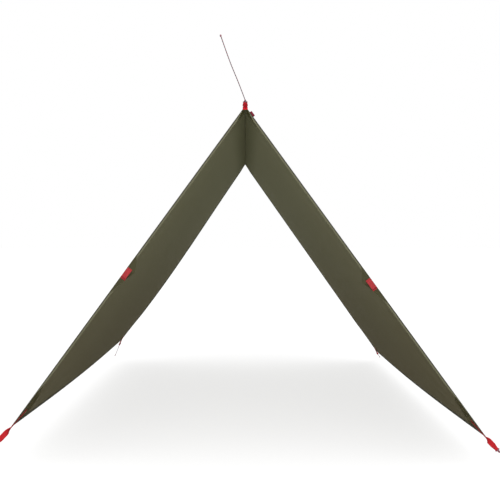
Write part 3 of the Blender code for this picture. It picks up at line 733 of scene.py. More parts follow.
@dataclass(frozen=True)
class Corner:
    """One corner of the tarp: its panel's side, its end of the ridge and its pull."""

    side: int
    rear: bool
    span: float
    drop: float
    peg: Pair
    strap_length: float
    twist: float
    route: Sequence[Triple]

    @property
    def name(self) -> str:
        """The corner's name, such as left_front."""
        return f"{SIDES[self.side]}_{'rear' if self.rear else 'front'}"

    def along(self, depth: float) -> float:
        """Return the way along the ridge at this depth from the corner's hem."""
        return RIDGE_LENGTH - depth if self.rear else depth

    def foot(self) -> Vector:
        """Return where the corner of the fabric lies."""
        return RIDGE_FRONT + Vector((self.side * self.span, self.along(0.0), -self.drop))

    def pull(self) -> Vector:
        """Return the direction from the corner to its peg."""
        peg = Vector((self.peg[0], RIDGE_FRONT.y + self.peg[1], FLOOR_HEIGHT))
        return (peg - self.foot()).normalized()


@dataclass(frozen=True)
class Fold:
    """A soft fold in the cloth, from one place to another, with its height and half width."""

    start: Pair
    end: Pair
    height: float
    width: float
    narrowest: float = 0.45
    reach: float = 2.6
    peak_power: float = 0.7

    def height_at(self, along: float, down: float) -> float:
        """Return how far the fold lifts the cloth at this place."""
        run_along, run_down = self.end[0] - self.start[0], self.end[1] - self.start[1]
        from_along, from_down = along - self.start[0], down - self.start[1]
        square = run_along * run_along + run_down * run_down
        share = (from_along * run_along + from_down * run_down) / square
        if not 0.0 < share < 1.0:
            return 0.0
        away = (from_down * run_along - from_along * run_down) / math.sqrt(square)
        wide = away / (self.width * (self.narrowest + share))
        if abs(wide) > self.reach:
            return 0.0
        rise = math.sin(math.pi * share**self.peak_power)
        return self.height * rise * rise * math.exp(-wide * wide)


@dataclass(frozen=True)
class Fan:
    """How a fan of folds spreads: its angles, and the ranges from which the rest is drawn."""

    angles: tuple[int, ...]
    jitter: float
    reach: Pair
    height: Pair
    width: Pair

    def folds(self, draw: random.Random, start: Pair, ways: tuple[int, int]) -> list[Fold]:
        """Return the fan's folds.

        Args:
            draw: The random numbers of its panel.
            start: The place from which it spreads.
            ways: Whether it spreads up (1) or down (-1) in along and in down.

        Returns:
            One fold for each angle.
        """
        made = []
        for angle in self.angles:
            lean = math.radians(angle + draw.uniform(-self.jitter, self.jitter))
            reach = draw.uniform(*self.reach)
            along = start[0] + ways[0] * reach * math.cos(lean)
            down = start[1] + ways[1] * reach * math.sin(lean)
            height = draw.choice((-1, 1)) * draw.uniform(*self.height)
            made.append(Fold(start, (along, down), height, draw.uniform(*self.width)))
        return made


CORNER_FAN = Fan((16, 31, 47, 63, 78), 5, (0.45, 1.15), (0.0012, 0.0034), (0.022, 0.050))
TIE_FAN = Fan((-50, -18, 14, 46), 6, (0.30, 0.62), (0.0010, 0.0024), (0.018, 0.036))


@dataclass(frozen=True)
class Panel:
    """One sloping half of the tarp, as a smooth surface over its fabric, with its folds.

    tie_out is how far down the slope its mid-hem tie-outs pull, and seed draws its folds.
    """

    side: int
    front: Corner
    rear: Corner
    rear_bow: float
    tie_out: float
    seed: int

    sag: float = 0.020
    droop: float = 0.013
    bow_power: int = 4
    bow_lowered: float = 1.5
    probe: float = 1e-4
    waves: float = 0.0022
    calm_at_ends: float = 0.16
    calm_at_side: float = 0.14
    calm_at_ridge: float = 0.10

    @property
    def name(self) -> str:
        """The panel's name."""
        return f"{SIDES[self.side]}_panel"

    @property
    def body(self) -> str:
        """The body that the panel's pieces ride on."""
        return f"{self.name}_body"

    @cached_property
    def feet(self) -> tuple[Vector, Vector]:
        """The panel's two corners on the ground side."""
        return self.front.foot(), self.rear.foot()

    @cached_property
    def folds(self) -> list[Fold]:
        """The tension folds that fan out from the four corners and from both tie-outs."""
        draw = random.Random(self.seed)
        made = []
        for along in (0.0, RIDGE_LENGTH):
            for down in (0.0, PANEL_DEPTH):
                ways = (-1 if along else 1, -1 if down else 1)
                made += CORNER_FAN.folds(draw, (along, down), ways)
        for along in (0.0, RIDGE_LENGTH):
            made += TIE_FAN.folds(draw, (along, self.tie_out), (-1 if along else 1, 1))
        return made

    def crease(self, along: float, down: float) -> float:
        """Return how far the folds and waves of the cloth lift it at this place."""
        inside = min(along, RIDGE_LENGTH - along)
        hem = eased(inside, 0.0, self.calm_at_ends) * eased(down, 0.0, self.calm_at_ridge)
        hem *= eased(PANEL_DEPTH - down, 0.0, self.calm_at_side)
        if hem <= 0:
            return 0.0
        lift = sum(fold.height_at(along, down) for fold in self.folds)
        place = Vector((along * 1.9, down * 2.6, 7.0 * self.side))
        return hem * (lift + self.waves * noise.noise(place))

    def surface(self, along: float, down: float) -> Vector:
        """Return the point of the middle plane at this place of the fabric."""
        a, b = along / RIDGE_LENGTH, down / PANEL_DEPTH
        top = RIDGE_FRONT + Vector((0, along, 0))
        front, rear = self.feet
        slope = front + (rear - front) * a - top
        inward = Vector((self.side * slope.z, 0, -abs(slope.x))).normalized()
        slack = self.sag * math.sin(math.pi * a) * math.sin(math.pi * b)
        lowered = max(b, 0) ** self.bow_lowered
        slack += self.rear_bow * max(a, 0) ** self.bow_power * math.sin(math.pi * lowered)
        slack -= self.crease(along, down)
        droop = self.droop * math.sin(math.pi * a) * b * b
        return top + slope * b + inward * slack - Vector((0, 0, droop))

    def normal(self, along: float, down: float) -> Vector:
        """Return the weather-side normal at this place of the fabric."""
        probe = self.probe
        down_way = self.surface(along, down + probe) - self.surface(along, down - probe)
        along_way = self.surface(along + probe, down) - self.surface(along - probe, down)
        return (down_way.cross(along_way) * self.side).normalized()

    def at(self, along: float, down: float, height: float = 0.0) -> Vector:
        """Return the point at this place of the fabric and this height above it."""
        point = self.surface(along, down)
        return point + self.normal(along, down) * height if height else point


FRONT_LEFT = Corner(-1, False, 0.878, 1.203, (-1.002, -0.228), 0.098, TURN, FRONT_LEFT_ROUTE)
FRONT_RIGHT = Corner(1, False, 0.903, 1.241, (0.992, -0.197), 0.073, -TURN, FRONT_RIGHT_ROUTE)
REAR_LEFT = Corner(-1, True, 0.848, 1.200, (-0.930, 3.300), 0.078, 0.0, REAR_LEFT_ROUTE)
REAR_RIGHT = Corner(1, True, 0.895, 1.273, (0.950, 3.210), 0.078, 0.0, REAR_RIGHT_ROUTE)
LEFT = Panel(-1, FRONT_LEFT, REAR_LEFT, rear_bow=0.018, tie_out=0.776, seed=11)
RIGHT = Panel(1, FRONT_RIGHT, REAR_RIGHT, rear_bow=0.0, tie_out=0.801, seed=23)


class Face(Enum):
    """The two faces of a panel."""

    WEATHER = 1
    INNER = -1


@dataclass(frozen=True)
class StitchRow:
    """A row of lockstitch on a panel, at a height that may change down the slope."""

    panel: Panel
    face: Face
    height: Callable[[float], float] = lambda down: TAPE_TOP
    pitch: float = 0.0040
    length_share: float = 0.78

    def sew(self, shape: Shape, line: Callable[[float], Pair], run: float) -> None:
        """Add the row's stitches to a shape.

        Args:
            shape: The shape of all the thread on one piece.
            line: The place on the fabric, along and down, at each way along the row.
            run: The row's length in metres.
        """
        step = run / max(1, round(run / self.pitch))
        half = step * self.length_share / 2
        for index in range(round(run / step)):
            middle = (index + 0.5) * step
            up = self.panel.normal(*line(middle)) * self.face.value
            start, end = (
                self.panel.surface(*spot) + up * self.height(spot[1])
                for spot in (line(middle - half), line(middle + half))
            )
            shape.stitch(start, end, up, ROW_STITCH)


@dataclass(frozen=True)
class PanelCloth:
    """A panel's cloth, its hem tapes and its patches, with their stitching."""

    panel: Panel
    start_down: float = 0.0021
    second_down: float = 0.012
    even_from: float = 0.022
    along_cells: int = 150
    down_cells: int = 84
    tape_cells: int = 18
    tape_weave: float = 0.05
    fine_end: float = 0.12
    fine_cells: int = 16
    coarse_cells: int = 60
    tape_to_ridge: float = 0.0095
    front_roll: float = 0.009
    rear_roll: float = 0.0035
    roll_starts: float = 0.010
    roll_full_from_ridge: float = 0.070
    roll_full_from_corner: float = 0.250
    roll_ends_at_corner: float = 0.125
    roll_softness: float = 0.0009
    tape_end_gap: float = 0.0005
    corner_patch: float = 0.170
    ridge_patch: float = 0.130
    patch_rounding: float = 0.64
    patch_cells: int = 12
    patch_rows: Pair = (0.975, 0.925)
    patch_pitch: float = 0.0038
    patch_run_share: float = 1.25
    hem_row_depths: Pair = (0.0055, 0.0165)
    row_end_gap: float = 0.002
    section_keys: tuple[float, ...] = (
        0.0, 0.16, 0.20, 0.24, 0.28, 0.33, 0.60, 0.64, 0.68, 0.72, 0.77, 1.0
    )

    def build(self) -> None:
        """Build the panel's cloth with everything sewn flat on it."""
        panel = self.panel
        corners = (panel.front, panel.rear)
        pieces = [self.side_tape()]
        for corner in corners:
            pieces += [self.end_tape(corner), self.patch(corner, True), self.patch(corner, False)]
        alongs = spread(0, RIDGE_LENGTH, self.along_cells)
        downs = [self.start_down, self.second_down]
        downs += spread(self.even_from, PANEL_DEPTH, self.down_cells)
        piece = Piece(panel.name, "cloth", panel.body, CANOPY)
        cloth = piece.make(Shape().grid(alongs, downs, panel.at), PANEL_THICKNESS)
        self.hem_threads()

    def roll_height(self, down: float, rear: bool) -> float:
        """Return how far an end hem is rolled inwards at this way down the slope."""
        most = self.rear_roll if rear else self.front_roll
        full = eased(down, self.roll_starts, self.roll_full_from_ridge)
        full *= eased(PANEL_DEPTH - down, self.roll_ends_at_corner, self.roll_full_from_corner)
        return TAPE_HEIGHT + (most - TAPE_HEIGHT) * full

    def section(self, share: float, roll: float) -> Vector:
        """Return the depth and height at this share of the way round a folded tape."""
        hem, inner = Vector((TAPE_WIDTH, TAPE_HEIGHT)), Vector((TAPE_WIDTH, -TAPE_HEIGHT))
        corners = [hem, Vector((-TAPE_FOLD, TAPE_HEIGHT)), Vector((-TAPE_FOLD, -roll)), inner]
        softness = min(self.roll_softness, 0.46 * (roll + TAPE_HEIGHT))
        line = [hem]
        for before, corner, after in zip(corners, corners[1:], corners[2:]):
            start = corner + (before - corner).normalized() * softness
            end = corner + (after - corner).normalized() * softness
            for step in spread(0, 1, 4):
                bend = corner * (2 * step * (1 - step))
                line.append(start * (1 - step) ** 2 + bend + end * step**2)
        line.append(inner)
        keys = self.section_keys
        index = next(index for index, key in enumerate(keys[1:]) if share <= key)
        part = (share - keys[index]) / (keys[index + 1] - keys[index])
        return line[index].lerp(line[index + 1], part)

    def tape(self, hem: str, finish: Finish, ways: Sequence[float], place: Place) -> Object:
        """Return the tape folded over this hem of the panel, along these ways."""
        shares, weave = spread(0, 1, self.tape_cells), self.tape_weave
        shape = Shape().grid(ways, shares, place, lambda way, share: (way, (share - 0.5) * weave))
        piece = Piece(f"{hem}_hem_tape", "fold", self.panel.body, finish)
        return piece.make(shape, TAPE_THICKNESS)

    def end_tape(self, corner: Corner) -> Object:
        """Return the tape of the front or rear hem, with its inward roll."""
        first, last = self.tape_to_ridge, PANEL_DEPTH - TAPE_WIDTH - self.tape_end_gap

        def place(down: float, share: float) -> Vector:
            """Return the tape's place at this way down and this share round the hem."""
            depth, height = self.section(share, self.roll_height(down, corner.rear))
            return self.panel.at(corner.along(depth), down, height)

        fine, cells = self.fine_end, self.fine_cells
        ways = spread(first, fine, cells)[:-1]
        ways += spread(fine, last - fine, self.coarse_cells)[:-1]
        ways += spread(last - fine, last, cells)
        return self.tape(corner.name, SHADED_TAPE if corner.rear else TAPE, ways, place)

    def side_tape(self) -> Object:
        """Return the tape of the side hem."""

        def place(along: float, share: float) -> Vector:
            """Return the tape's place at this way along and this share round the hem."""
            depth, height = self.section(share, TAPE_HEIGHT)
            return self.panel.at(along, PANEL_DEPTH - depth, height)

        hem, ways = f"{SIDES[self.panel.side]}_side", spread(0, RIDGE_LENGTH, self.along_cells)
        return self.tape(hem, SHADED_TAPE, ways, place)

    def patch(self, corner: Corner, from_ridge: bool) -> Object:
        """Return a kite-shaped patch on the inner face, with two rows round its free edges."""
        edge = TAPE_WIDTH + self.tape_end_gap
        start_down = self.tape_to_ridge if from_ridge else edge
        size = self.ridge_patch if from_ridge else self.corner_patch

        def spot(one: float, other: float) -> Pair:
            """Return the way along and down at two shares of the patch's sides."""
            narrowed = size * (1 - (1 - self.patch_rounding) * one * other)
            way = start_down + other * narrowed
            return corner.along(edge + one * narrowed), way if from_ridge else PANEL_DEPTH - way

        def place(one: float, other: float) -> Vector:
            """Return the place of the patch on the inner face."""
            return self.panel.at(*spot(one, other), -TAPE_HEIGHT)

        node = f"{corner.name}_{'ridge' if from_ridge else 'corner'}_patch"
        shares = spread(0, 1, self.patch_cells)
        shape = Shape().grid(shares, shares, place, spot)
        obj = Piece(node, "cloth", self.panel.body, LIT_PATCH).make(shape, TAPE_THICKNESS)
        row, thread = StitchRow(self.panel, Face.INNER, pitch=self.patch_pitch), Shape()
        run = size * self.patch_rounding * self.patch_run_share
        for rim in self.patch_rows:
            row.sew(thread, lambda way: spot(rim, rim * way / run), run)
            row.sew(thread, lambda way: spot(rim * way / run, rim), run)
        Piece(node, "thread", self.panel.body, THREAD).make(thread)
        return obj

    def hem_threads(self) -> Object:
        """Return the rows of stitches that hold the hem tapes."""
        panel, shape, gap = self.panel, Shape(), self.row_end_gap
        for face in Face:
            for depth in self.hem_row_depths:
                row = StitchRow(panel, face)
                row.sew(shape, lambda way: (gap + way, PANEL_DEPTH - depth), RIDGE_LENGTH - 2 * gap)
        first = self.tape_to_ridge + gap
        run = PANEL_DEPTH - TAPE_WIDTH - self.tape_end_gap - gap - first
        for corner in (panel.front, panel.rear):
            for face in Face:
                inner = face is Face.INNER
                for depth in self.hem_row_depths[int(inner):]:
                    share = 1 - depth / TAPE_WIDTH if inner else 0.0

                    def height(down: float) -> float:
                        """Return how high the row lies on the rolled tape."""
                        rolled = self.roll_height(down, corner.rear) - TAPE_HEIGHT
                        return TAPE_TOP + rolled * share

                    row = StitchRow(panel, face, height)
                    row.sew(shape, lambda way: (corner.along(depth), first + way), run)
        return Piece(f"{SIDES[panel.side]}_hem", "thread", panel.body, THREAD).make(shape)


# Webbing and cords


@dataclass(frozen=True)
class FoldedStrap:
    """A strap folded back on itself round an eye, from its root at a hinge's frame.

    A plain one has tacks of full width, and the weave of both its legs starts at the root.
    """

    node: str
    body: str
    hinge: Matrix
    length: float
    twist: float = 0.0
    first_tack: float = 0.008
    plain: bool = False
    root: float = 0.0003
    leg_space: float = 0.0004
    eye_length: float = 0.020
    eye_swell: float = 0.009
    eye_power: float = 1.5
    twist_done: float = 0.55
    narrows_from: float = 0.80
    tack_to_eye: float = 0.004

    @property
    def eye_start(self) -> float:
        """The way from the hinge to the eye."""
        return self.length - self.eye_length

    @property
    def leg_height(self) -> float:
        """How far the middle of each leg lies from the strap's middle."""
        return self.leg_space / 2 + WEBBING_HALF

    def line(self) -> list[Vector]:
        """Return the folded line from root to eye and back, as way and height."""
        upper = [Vector((way, self.leg_height)) for way in spread(self.root, self.eye_start, 26)]
        for angle in spread(0, math.pi / 2, 16)[1:]:
            swell = self.leg_height + self.eye_swell * math.sin(angle) ** self.eye_power
            way = self.eye_start + self.eye_length * math.sin(angle)
            upper.append(Vector((way, swell * math.cos(angle))))
        return [*upper, *(Vector((way, -height)) for way, height in reversed(upper[:-1]))]

    def turn(self, way: float) -> Matrix:
        """Return the strap's twist at this way from its hinge."""
        turned = self.twist * eased(way, 0, self.twist_done * self.eye_start)
        return Matrix.Rotation(turned, 3, "X")

    def place(self, way: float, aside: float, height: float, wide: bool = False) -> Vector:
        """Return the place on the twisted strap, which narrows to its nose unless wide."""
        if not wide:
            share = eased(way, self.narrows_from * self.eye_start, self.length)
            aside *= 1 - (1 - NOSE_WIDTH_SHARE) * share
        return self.hinge @ (Vector((way, 0, 0)) + self.turn(way) @ Vector((0, aside, height)))

    def build(self) -> None:
        """Build the strap and the two tacks on each of its faces."""
        piece, line = Piece(self.node, "webbing", self.body, RED_WEBBING), self.line()
        runs = [spot.x for spot in line] if self.plain else ()
        lay_webbing(piece, line, lambda spot, aside: self.place(spot.x, aside, spot.y), runs)
        thread = Shape()
        out = self.leg_height + WEBBING_HALF
        for side in (1, -1):
            for way in (self.first_tack, self.eye_start - self.tack_to_eye):
                up = self.hinge.to_3x3() @ self.turn(way) @ Vector((0, 0, side))
                thread.bar_tack(lambda w, a: self.place(w, a, side * out, self.plain), up, way)
        Piece(self.node, "thread", self.body, RED_THREAD).make(thread)


@dataclass(frozen=True)
class CornerStrap:
    """The webbing sewn on a corner and the strap that hangs on it, with its cord."""

    corner: Corner
    panel: Panel
    sewn_length: float = 0.100
    sewn_end: float = 0.0020
    hinge_from_corner: float = 0.0026
    tack_ways: Triple = (-0.095, -0.051, -0.007)
    side_rows: Pair = (-0.094, -0.008)
    side_stitches: int = 24
    side_stitch: Pair = (0.0004, 0.0032)

    def on_fabric(self, way: float, aside: float, height: float = WEBBING_HEIGHT) -> Vector:
        """Return the place on the inner face at this way past the corner and this far aside."""
        corner = self.corner
        pull, slope = corner.pull(), (corner.foot() - RIDGE_FRONT).xz.normalized()
        pull = Vector((pull.y, pull.x * slope.x + pull.z * slope.y)).normalized()
        along = corner.along(0.0) + pull.x * way - pull.y * aside
        down = PANEL_DEPTH + pull.y * way + pull.x * aside
        return self.panel.at(along, down, -height)

    def build(self) -> None:
        """Build the sewn webbing with its tacks, the strap and its cord."""
        corner = self.corner
        normal, pull = self.panel.normal(corner.along(0.0), PANEL_DEPTH), corner.pull()
        node = f"{corner.name}_corner_webbing"
        ways = spread(-self.sewn_length, self.sewn_end, 30)
        shape = Shape().grid(ways, WEBBING_COLUMNS, self.on_fabric)
        piece = Piece(node, "strip", self.panel.body, RED_WEBBING)
        piece.make(shape, WEBBING_THICKNESS, SELVEDGE)

        def face(way: float, aside: float) -> Vector:
            """Return the place on the sewn webbing's face."""
            return self.on_fabric(way, aside, WEBBING_HEIGHT + WEBBING_HALF)

        thread = Shape()
        for way in self.tack_ways:
            thread.bar_tack(face, -normal, way)
        for aside in (-TACK_REACH, TACK_REACH):
            for way in spread(*self.side_rows, self.side_stitches)[:-1]:
                start, end = (face(way + step, aside) for step in self.side_stitch)
                thread.stitch(start, end, -normal, TACK_STITCH)
        Piece(node, "thread", self.panel.body, RED_THREAD).make(thread)
        name, length = f"{corner.name}_strap", corner.strap_length
        hinge = frame_of(self.on_fabric(self.hinge_from_corner, 0), pull, normal.cross(pull))
        FoldedStrap(f"{name}_loop", f"{name}_body", hinge, length, corner.twist).build()
        nose = hinge @ Matrix.Translation((length, 0, 0)) @ Matrix.Rotation(corner.twist, 4, "X")
        CordLine(name, f"{name}_body", nose, corner.route).build()


@dataclass(frozen=True)
class CordLine:
    """A cord tied to a nose of webbing: its turn through the eye, knot, run and end knot."""

    name: str
    body: str
    nose: Matrix
    route: Sequence[Triple]
    knot_length: float = 0.010
    knot_width: float = 0.008
    wraps: int = 3
    strand: float = 0.00135

    def piece(self, part: str, kind: str, shape: Shape) -> Object:
        """Return this part of the line, made of cord."""
        return Piece(f"{self.name}_{part}", kind, self.body, CORD).make(shape)

    def build(self) -> None:
        """Build the whole line and log the length of its free cord."""
        reach = WEBBING_HALF + LAYER_GAP + CORD_RADIUS
        half = self.knot_length / 2
        near_knot = reach + LAYER_GAP + CORD_RADIUS + half
        forward = self.nose.to_3x3().col[0]
        hitch = self.hitch(reach, near_knot)
        knot = self.barrel(self.nose.translation + forward * near_knot, forward)
        points = smooth_through(self.route, 0.0008)
        way = (points[-1] - points[-2]).normalized()
        end = self.overhand(points[-1] + way * (LAYER_GAP + half), way)
        cord = self.piece("cord", "braid", Shape().tube(points, CORD_RADIUS, 16))
        path = smooth_through(self.route, 0.009)
        length = runs_of(path)[-1]
        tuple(self.route[0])
        log.info("%s: %.3f m of cord", self.name, length)

    def hitch(self, reach: float, near_knot: float) -> Object:
        """Return the turn through the eye, round the nose and into the knot."""
        height = NOSE_WIDTH_SHARE * WEBBING_WIDTH / 2 + LAYER_GAP + CORD_RADIUS
        inside = [
            (near_knot - 0.004, 0.0008), (reach + 0.0016, 0.0022),
            (reach - 0.0002, height - 0.0012), (0.0, height),
            (-reach + 0.0002, height - 0.0014), (-reach, height * 0.45),
        ]
        route = [(x, y, 0.0) for x, y in inside] + [(x, -y, 0.0) for x, y in reversed(inside)]
        points = [self.nose @ point for point in smooth_through(route, 0.0008)]
        return self.piece("hitch", "turn", Shape().tube(points, CORD_RADIUS, 12))

    def barrel(self, middle: Vector, way: Vector) -> Object:
        """Return a knot of close wraps round the cord, with a short tail."""
        half, wrap = self.knot_length / 2, self.knot_width / 2 - self.strand
        coil = []
        for share in spread(0, 1, 24 * self.wraps):
            angle = math.tau * self.wraps * share
            rise = (half - self.strand) * (2 * share - 1)
            coil.append(Vector((math.cos(angle) * wrap, math.sin(angle) * wrap, rise)))
        core = spread(-half, half, 12)
        one, other = ([Vector((0.0, aside, z)) for z in core] for aside in (0.0007, -0.0007))
        tail = [(wrap, 0.0, -half + self.strand), (wrap * 1.08, -0.002, -half - 0.0006)]
        tail += [(wrap * 1.16, -0.0045, -half - 0.0005), (wrap * 1.2, -0.0065, -half + 0.0006)]
        place, shape = self.along_cord(middle, way), Shape()
        thin = self.strand * 0.9
        tubes = ((coil, self.strand), (one, thin), (other, thin))
        for line, radius in (*tubes, (smooth_through(tail, 0.0007), self.strand)):
            shape.tube([place @ point for point in line], radius, 10)
        return self.piece("knot", "wraps", shape)

    def overhand(self, middle: Vector, way: Vector) -> Object:
        """Return a tight overhand knot drawn out along its cord."""
        place = self.along_cord(middle, way)
        half = self.knot_length / 2
        scale, stretch = (self.knot_width / 2 - self.strand) / 3, (half - self.strand) / 3
        points = []
        for angle in spread(0, math.tau, 72)[:-1]:
            x = -math.sin(3 * angle) * self.strand * 1.05
            y = (math.sin(angle) + 2 * math.sin(2 * angle)) * scale
            z = (math.cos(angle) - 2 * math.cos(2 * angle)) * stretch
            points.append(place @ Vector((x, y, z)))
        entry = [place @ Vector((0.0, 0.0, rise)) for rise in spread(-half, 0.0, 8)]
        shape = Shape().tube(points, self.strand, 10, True).tube(entry, self.strand, 10)
        return self.piece("end_knot", "bend", shape)

    @staticmethod
    def along_cord(middle: Vector, way: Vector) -> Matrix:
        """Return a knot's frame, whose Z is the way of its cord."""
        turn = way.to_track_quat("Z", "Y").to_matrix().to_4x4()
        return Matrix.Translation(middle) @ turn


@dataclass(frozen=True)
class Arch:
    """A webbing loop sewn down at both ends and standing up between them."""

    name: str
    body: str
    length: float
    place: Callable[[float, float, float], Vector]
    finish: Finish
    foot: float = 0.005
    rise: float = 0.0067
    crown: float = 0.0011
    shoulder: float = 0.0039

    def lifted(self, way: float, aside: float) -> Vector:
        """Return the place at this way and aside, at the arch's height over its feet."""
        flat = self.length / 2 - self.foot
        shoulder = flat - self.shoulder
        away = abs(way)
        high = self.rise + self.crown * (1 - min(1.0, away / shoulder) ** 2)
        return self.place(way, aside, high * (1 - eased(away, shoulder, flat)))

    def build(self) -> None:
        """Build the loop and the bar tacks on its feet."""
        half = self.length / 2
        shape = Shape().grid(spread(-half, half, 44), WEBBING_COLUMNS, self.lifted)
        piece = Piece(self.name, "webbing", self.body, self.finish)
        piece.make(shape, WEBBING_THICKNESS, SELVEDGE)
        thread = Shape()
        up = (self.place(0, 0, 1) - self.place(0, 0, 0)).normalized()
        for way in (self.foot / 2 - half, half - self.foot / 2):
            thread.bar_tack(lambda w, a: self.place(w, a, WEBBING_HALF), up, way)
        Piece(self.name, "thread", self.body, RED_THREAD).make(thread)


@dataclass(frozen=True)
class HemTab:
    """The triangular tab of a mid-hem tie-out with its webbing loop."""

    corner: Corner
    panel: Panel
    base: float = 0.180
    depth: float = 0.034
    point_from_top: float = 0.056
    loop_from_top: float = 0.0805
    loop_in: float = 0.0010
    hem_to_hinge: float = 0.0014
    root: float = 0.0002
    arch_length: float = 0.049
    edge_roll: float = 0.0004
    stitches: int = 44
    stitched_from: float = 0.08
    stitched_share: float = 0.84
    stitch_row: float = 0.86
    stitch_reach: float = 0.0085
    stitch_width: float = 0.0008
    blunt_by: float = 0.0012
    blunt_share: float = 0.45
    least_depth: float = 0.0006

    def tab_frame(self) -> Matrix:
        """Return the tab's frame: X out along it, Y along the hem, Z on the loop's side."""
        rear, spot = self.corner.rear, (self.corner.along(0.0), self.panel.tie_out)
        normal = self.panel.normal(*spot)
        along_way = Vector((0, 1 if rear else -1, 0))
        origin = self.panel.at(*spot) + along_way * self.hem_to_hinge
        out, face = (along_way, normal) if rear else (-normal, along_way)
        return frame_of(origin, out, face.cross(out))

    def outline(self, share: float) -> Pair:
        """Return the tab's far edge: its depth and its way from the top at a share of the base."""
        way, peak = self.base * share, self.point_from_top
        depth = self.depth * (way / peak if way < peak else (self.base - way) / (self.base - peak))
        blunt = self.depth - self.blunt_by
        if depth > blunt:
            depth = blunt + (depth - blunt) * self.blunt_share
        return max(depth, self.least_depth), way

    def build(self) -> None:
        """Build the tab, its stitched edges and its loop."""
        place = self.tab_frame()
        axes = place.to_3x3().col
        up = 1 if axes[1].z > 0 else -1

        def spot(share: float, out: float, height: float = 0.0) -> Vector:
            """Return the place at a share of the tab's base and a share of its depth."""
            depth, way = self.outline(share)
            x = self.root + (depth - self.root) * out
            return place @ Vector((x, up * (self.loop_from_top - way), height))

        def rolled(share: float, out: float) -> Vector:
            """Return the place of the tab's cloth, which is rolled at its edge."""
            swell = self.edge_roll * eased(out, 0.80, 0.93) * (1 - eased(out, 0.95, 1.0))
            return spot(share, out, swell * min(1.0, 2 * self.outline(share)[0] / self.depth))

        shape = Shape().grid(
            spread(0.004, 0.996, 64), [*spread(0, 0.78, 8), 0.84, 0.89, 0.93, 0.97, 1.0], rolled,
            lambda share, out: (share * self.base, out * self.depth),
        )
        node = f"{self.corner.name}_tab"
        body = f"{node}_body"
        Piece(node, "cloth", body, TAB_CLOTH).make(shape, TAB_THICKNESS)
        thread = Shape()
        for side in (1, -1):
            height = side * TAB_THICKNESS / 2
            for index in range(self.stitches):
                share = self.stitched_from + self.stitched_share * (index + 0.5) / self.stitches
                start, end = (
                    spot(share + reach, self.stitch_row, height)
                    for reach in (-self.stitch_reach, self.stitch_reach)
                )
                thread.stitch(start, end, axes[2] * side, self.stitch_width)
        Piece(node, "thread", body, THREAD).make(thread)
        base = TAB_THICKNESS / 2 + LAYER_GAP + WEBBING_HALF
        middle = self.loop_in + WEBBING_WIDTH / 2

        def on_tab(way: float, aside: float, rise: float) -> Vector:
            """Return the place over the tab on which its loop stands."""
            return place @ Vector((middle + aside, way, base + rise))

        Arch(f"{node}_loop", body, self.arch_length, on_tab, FADED_WEBBING).build()


# The ridge


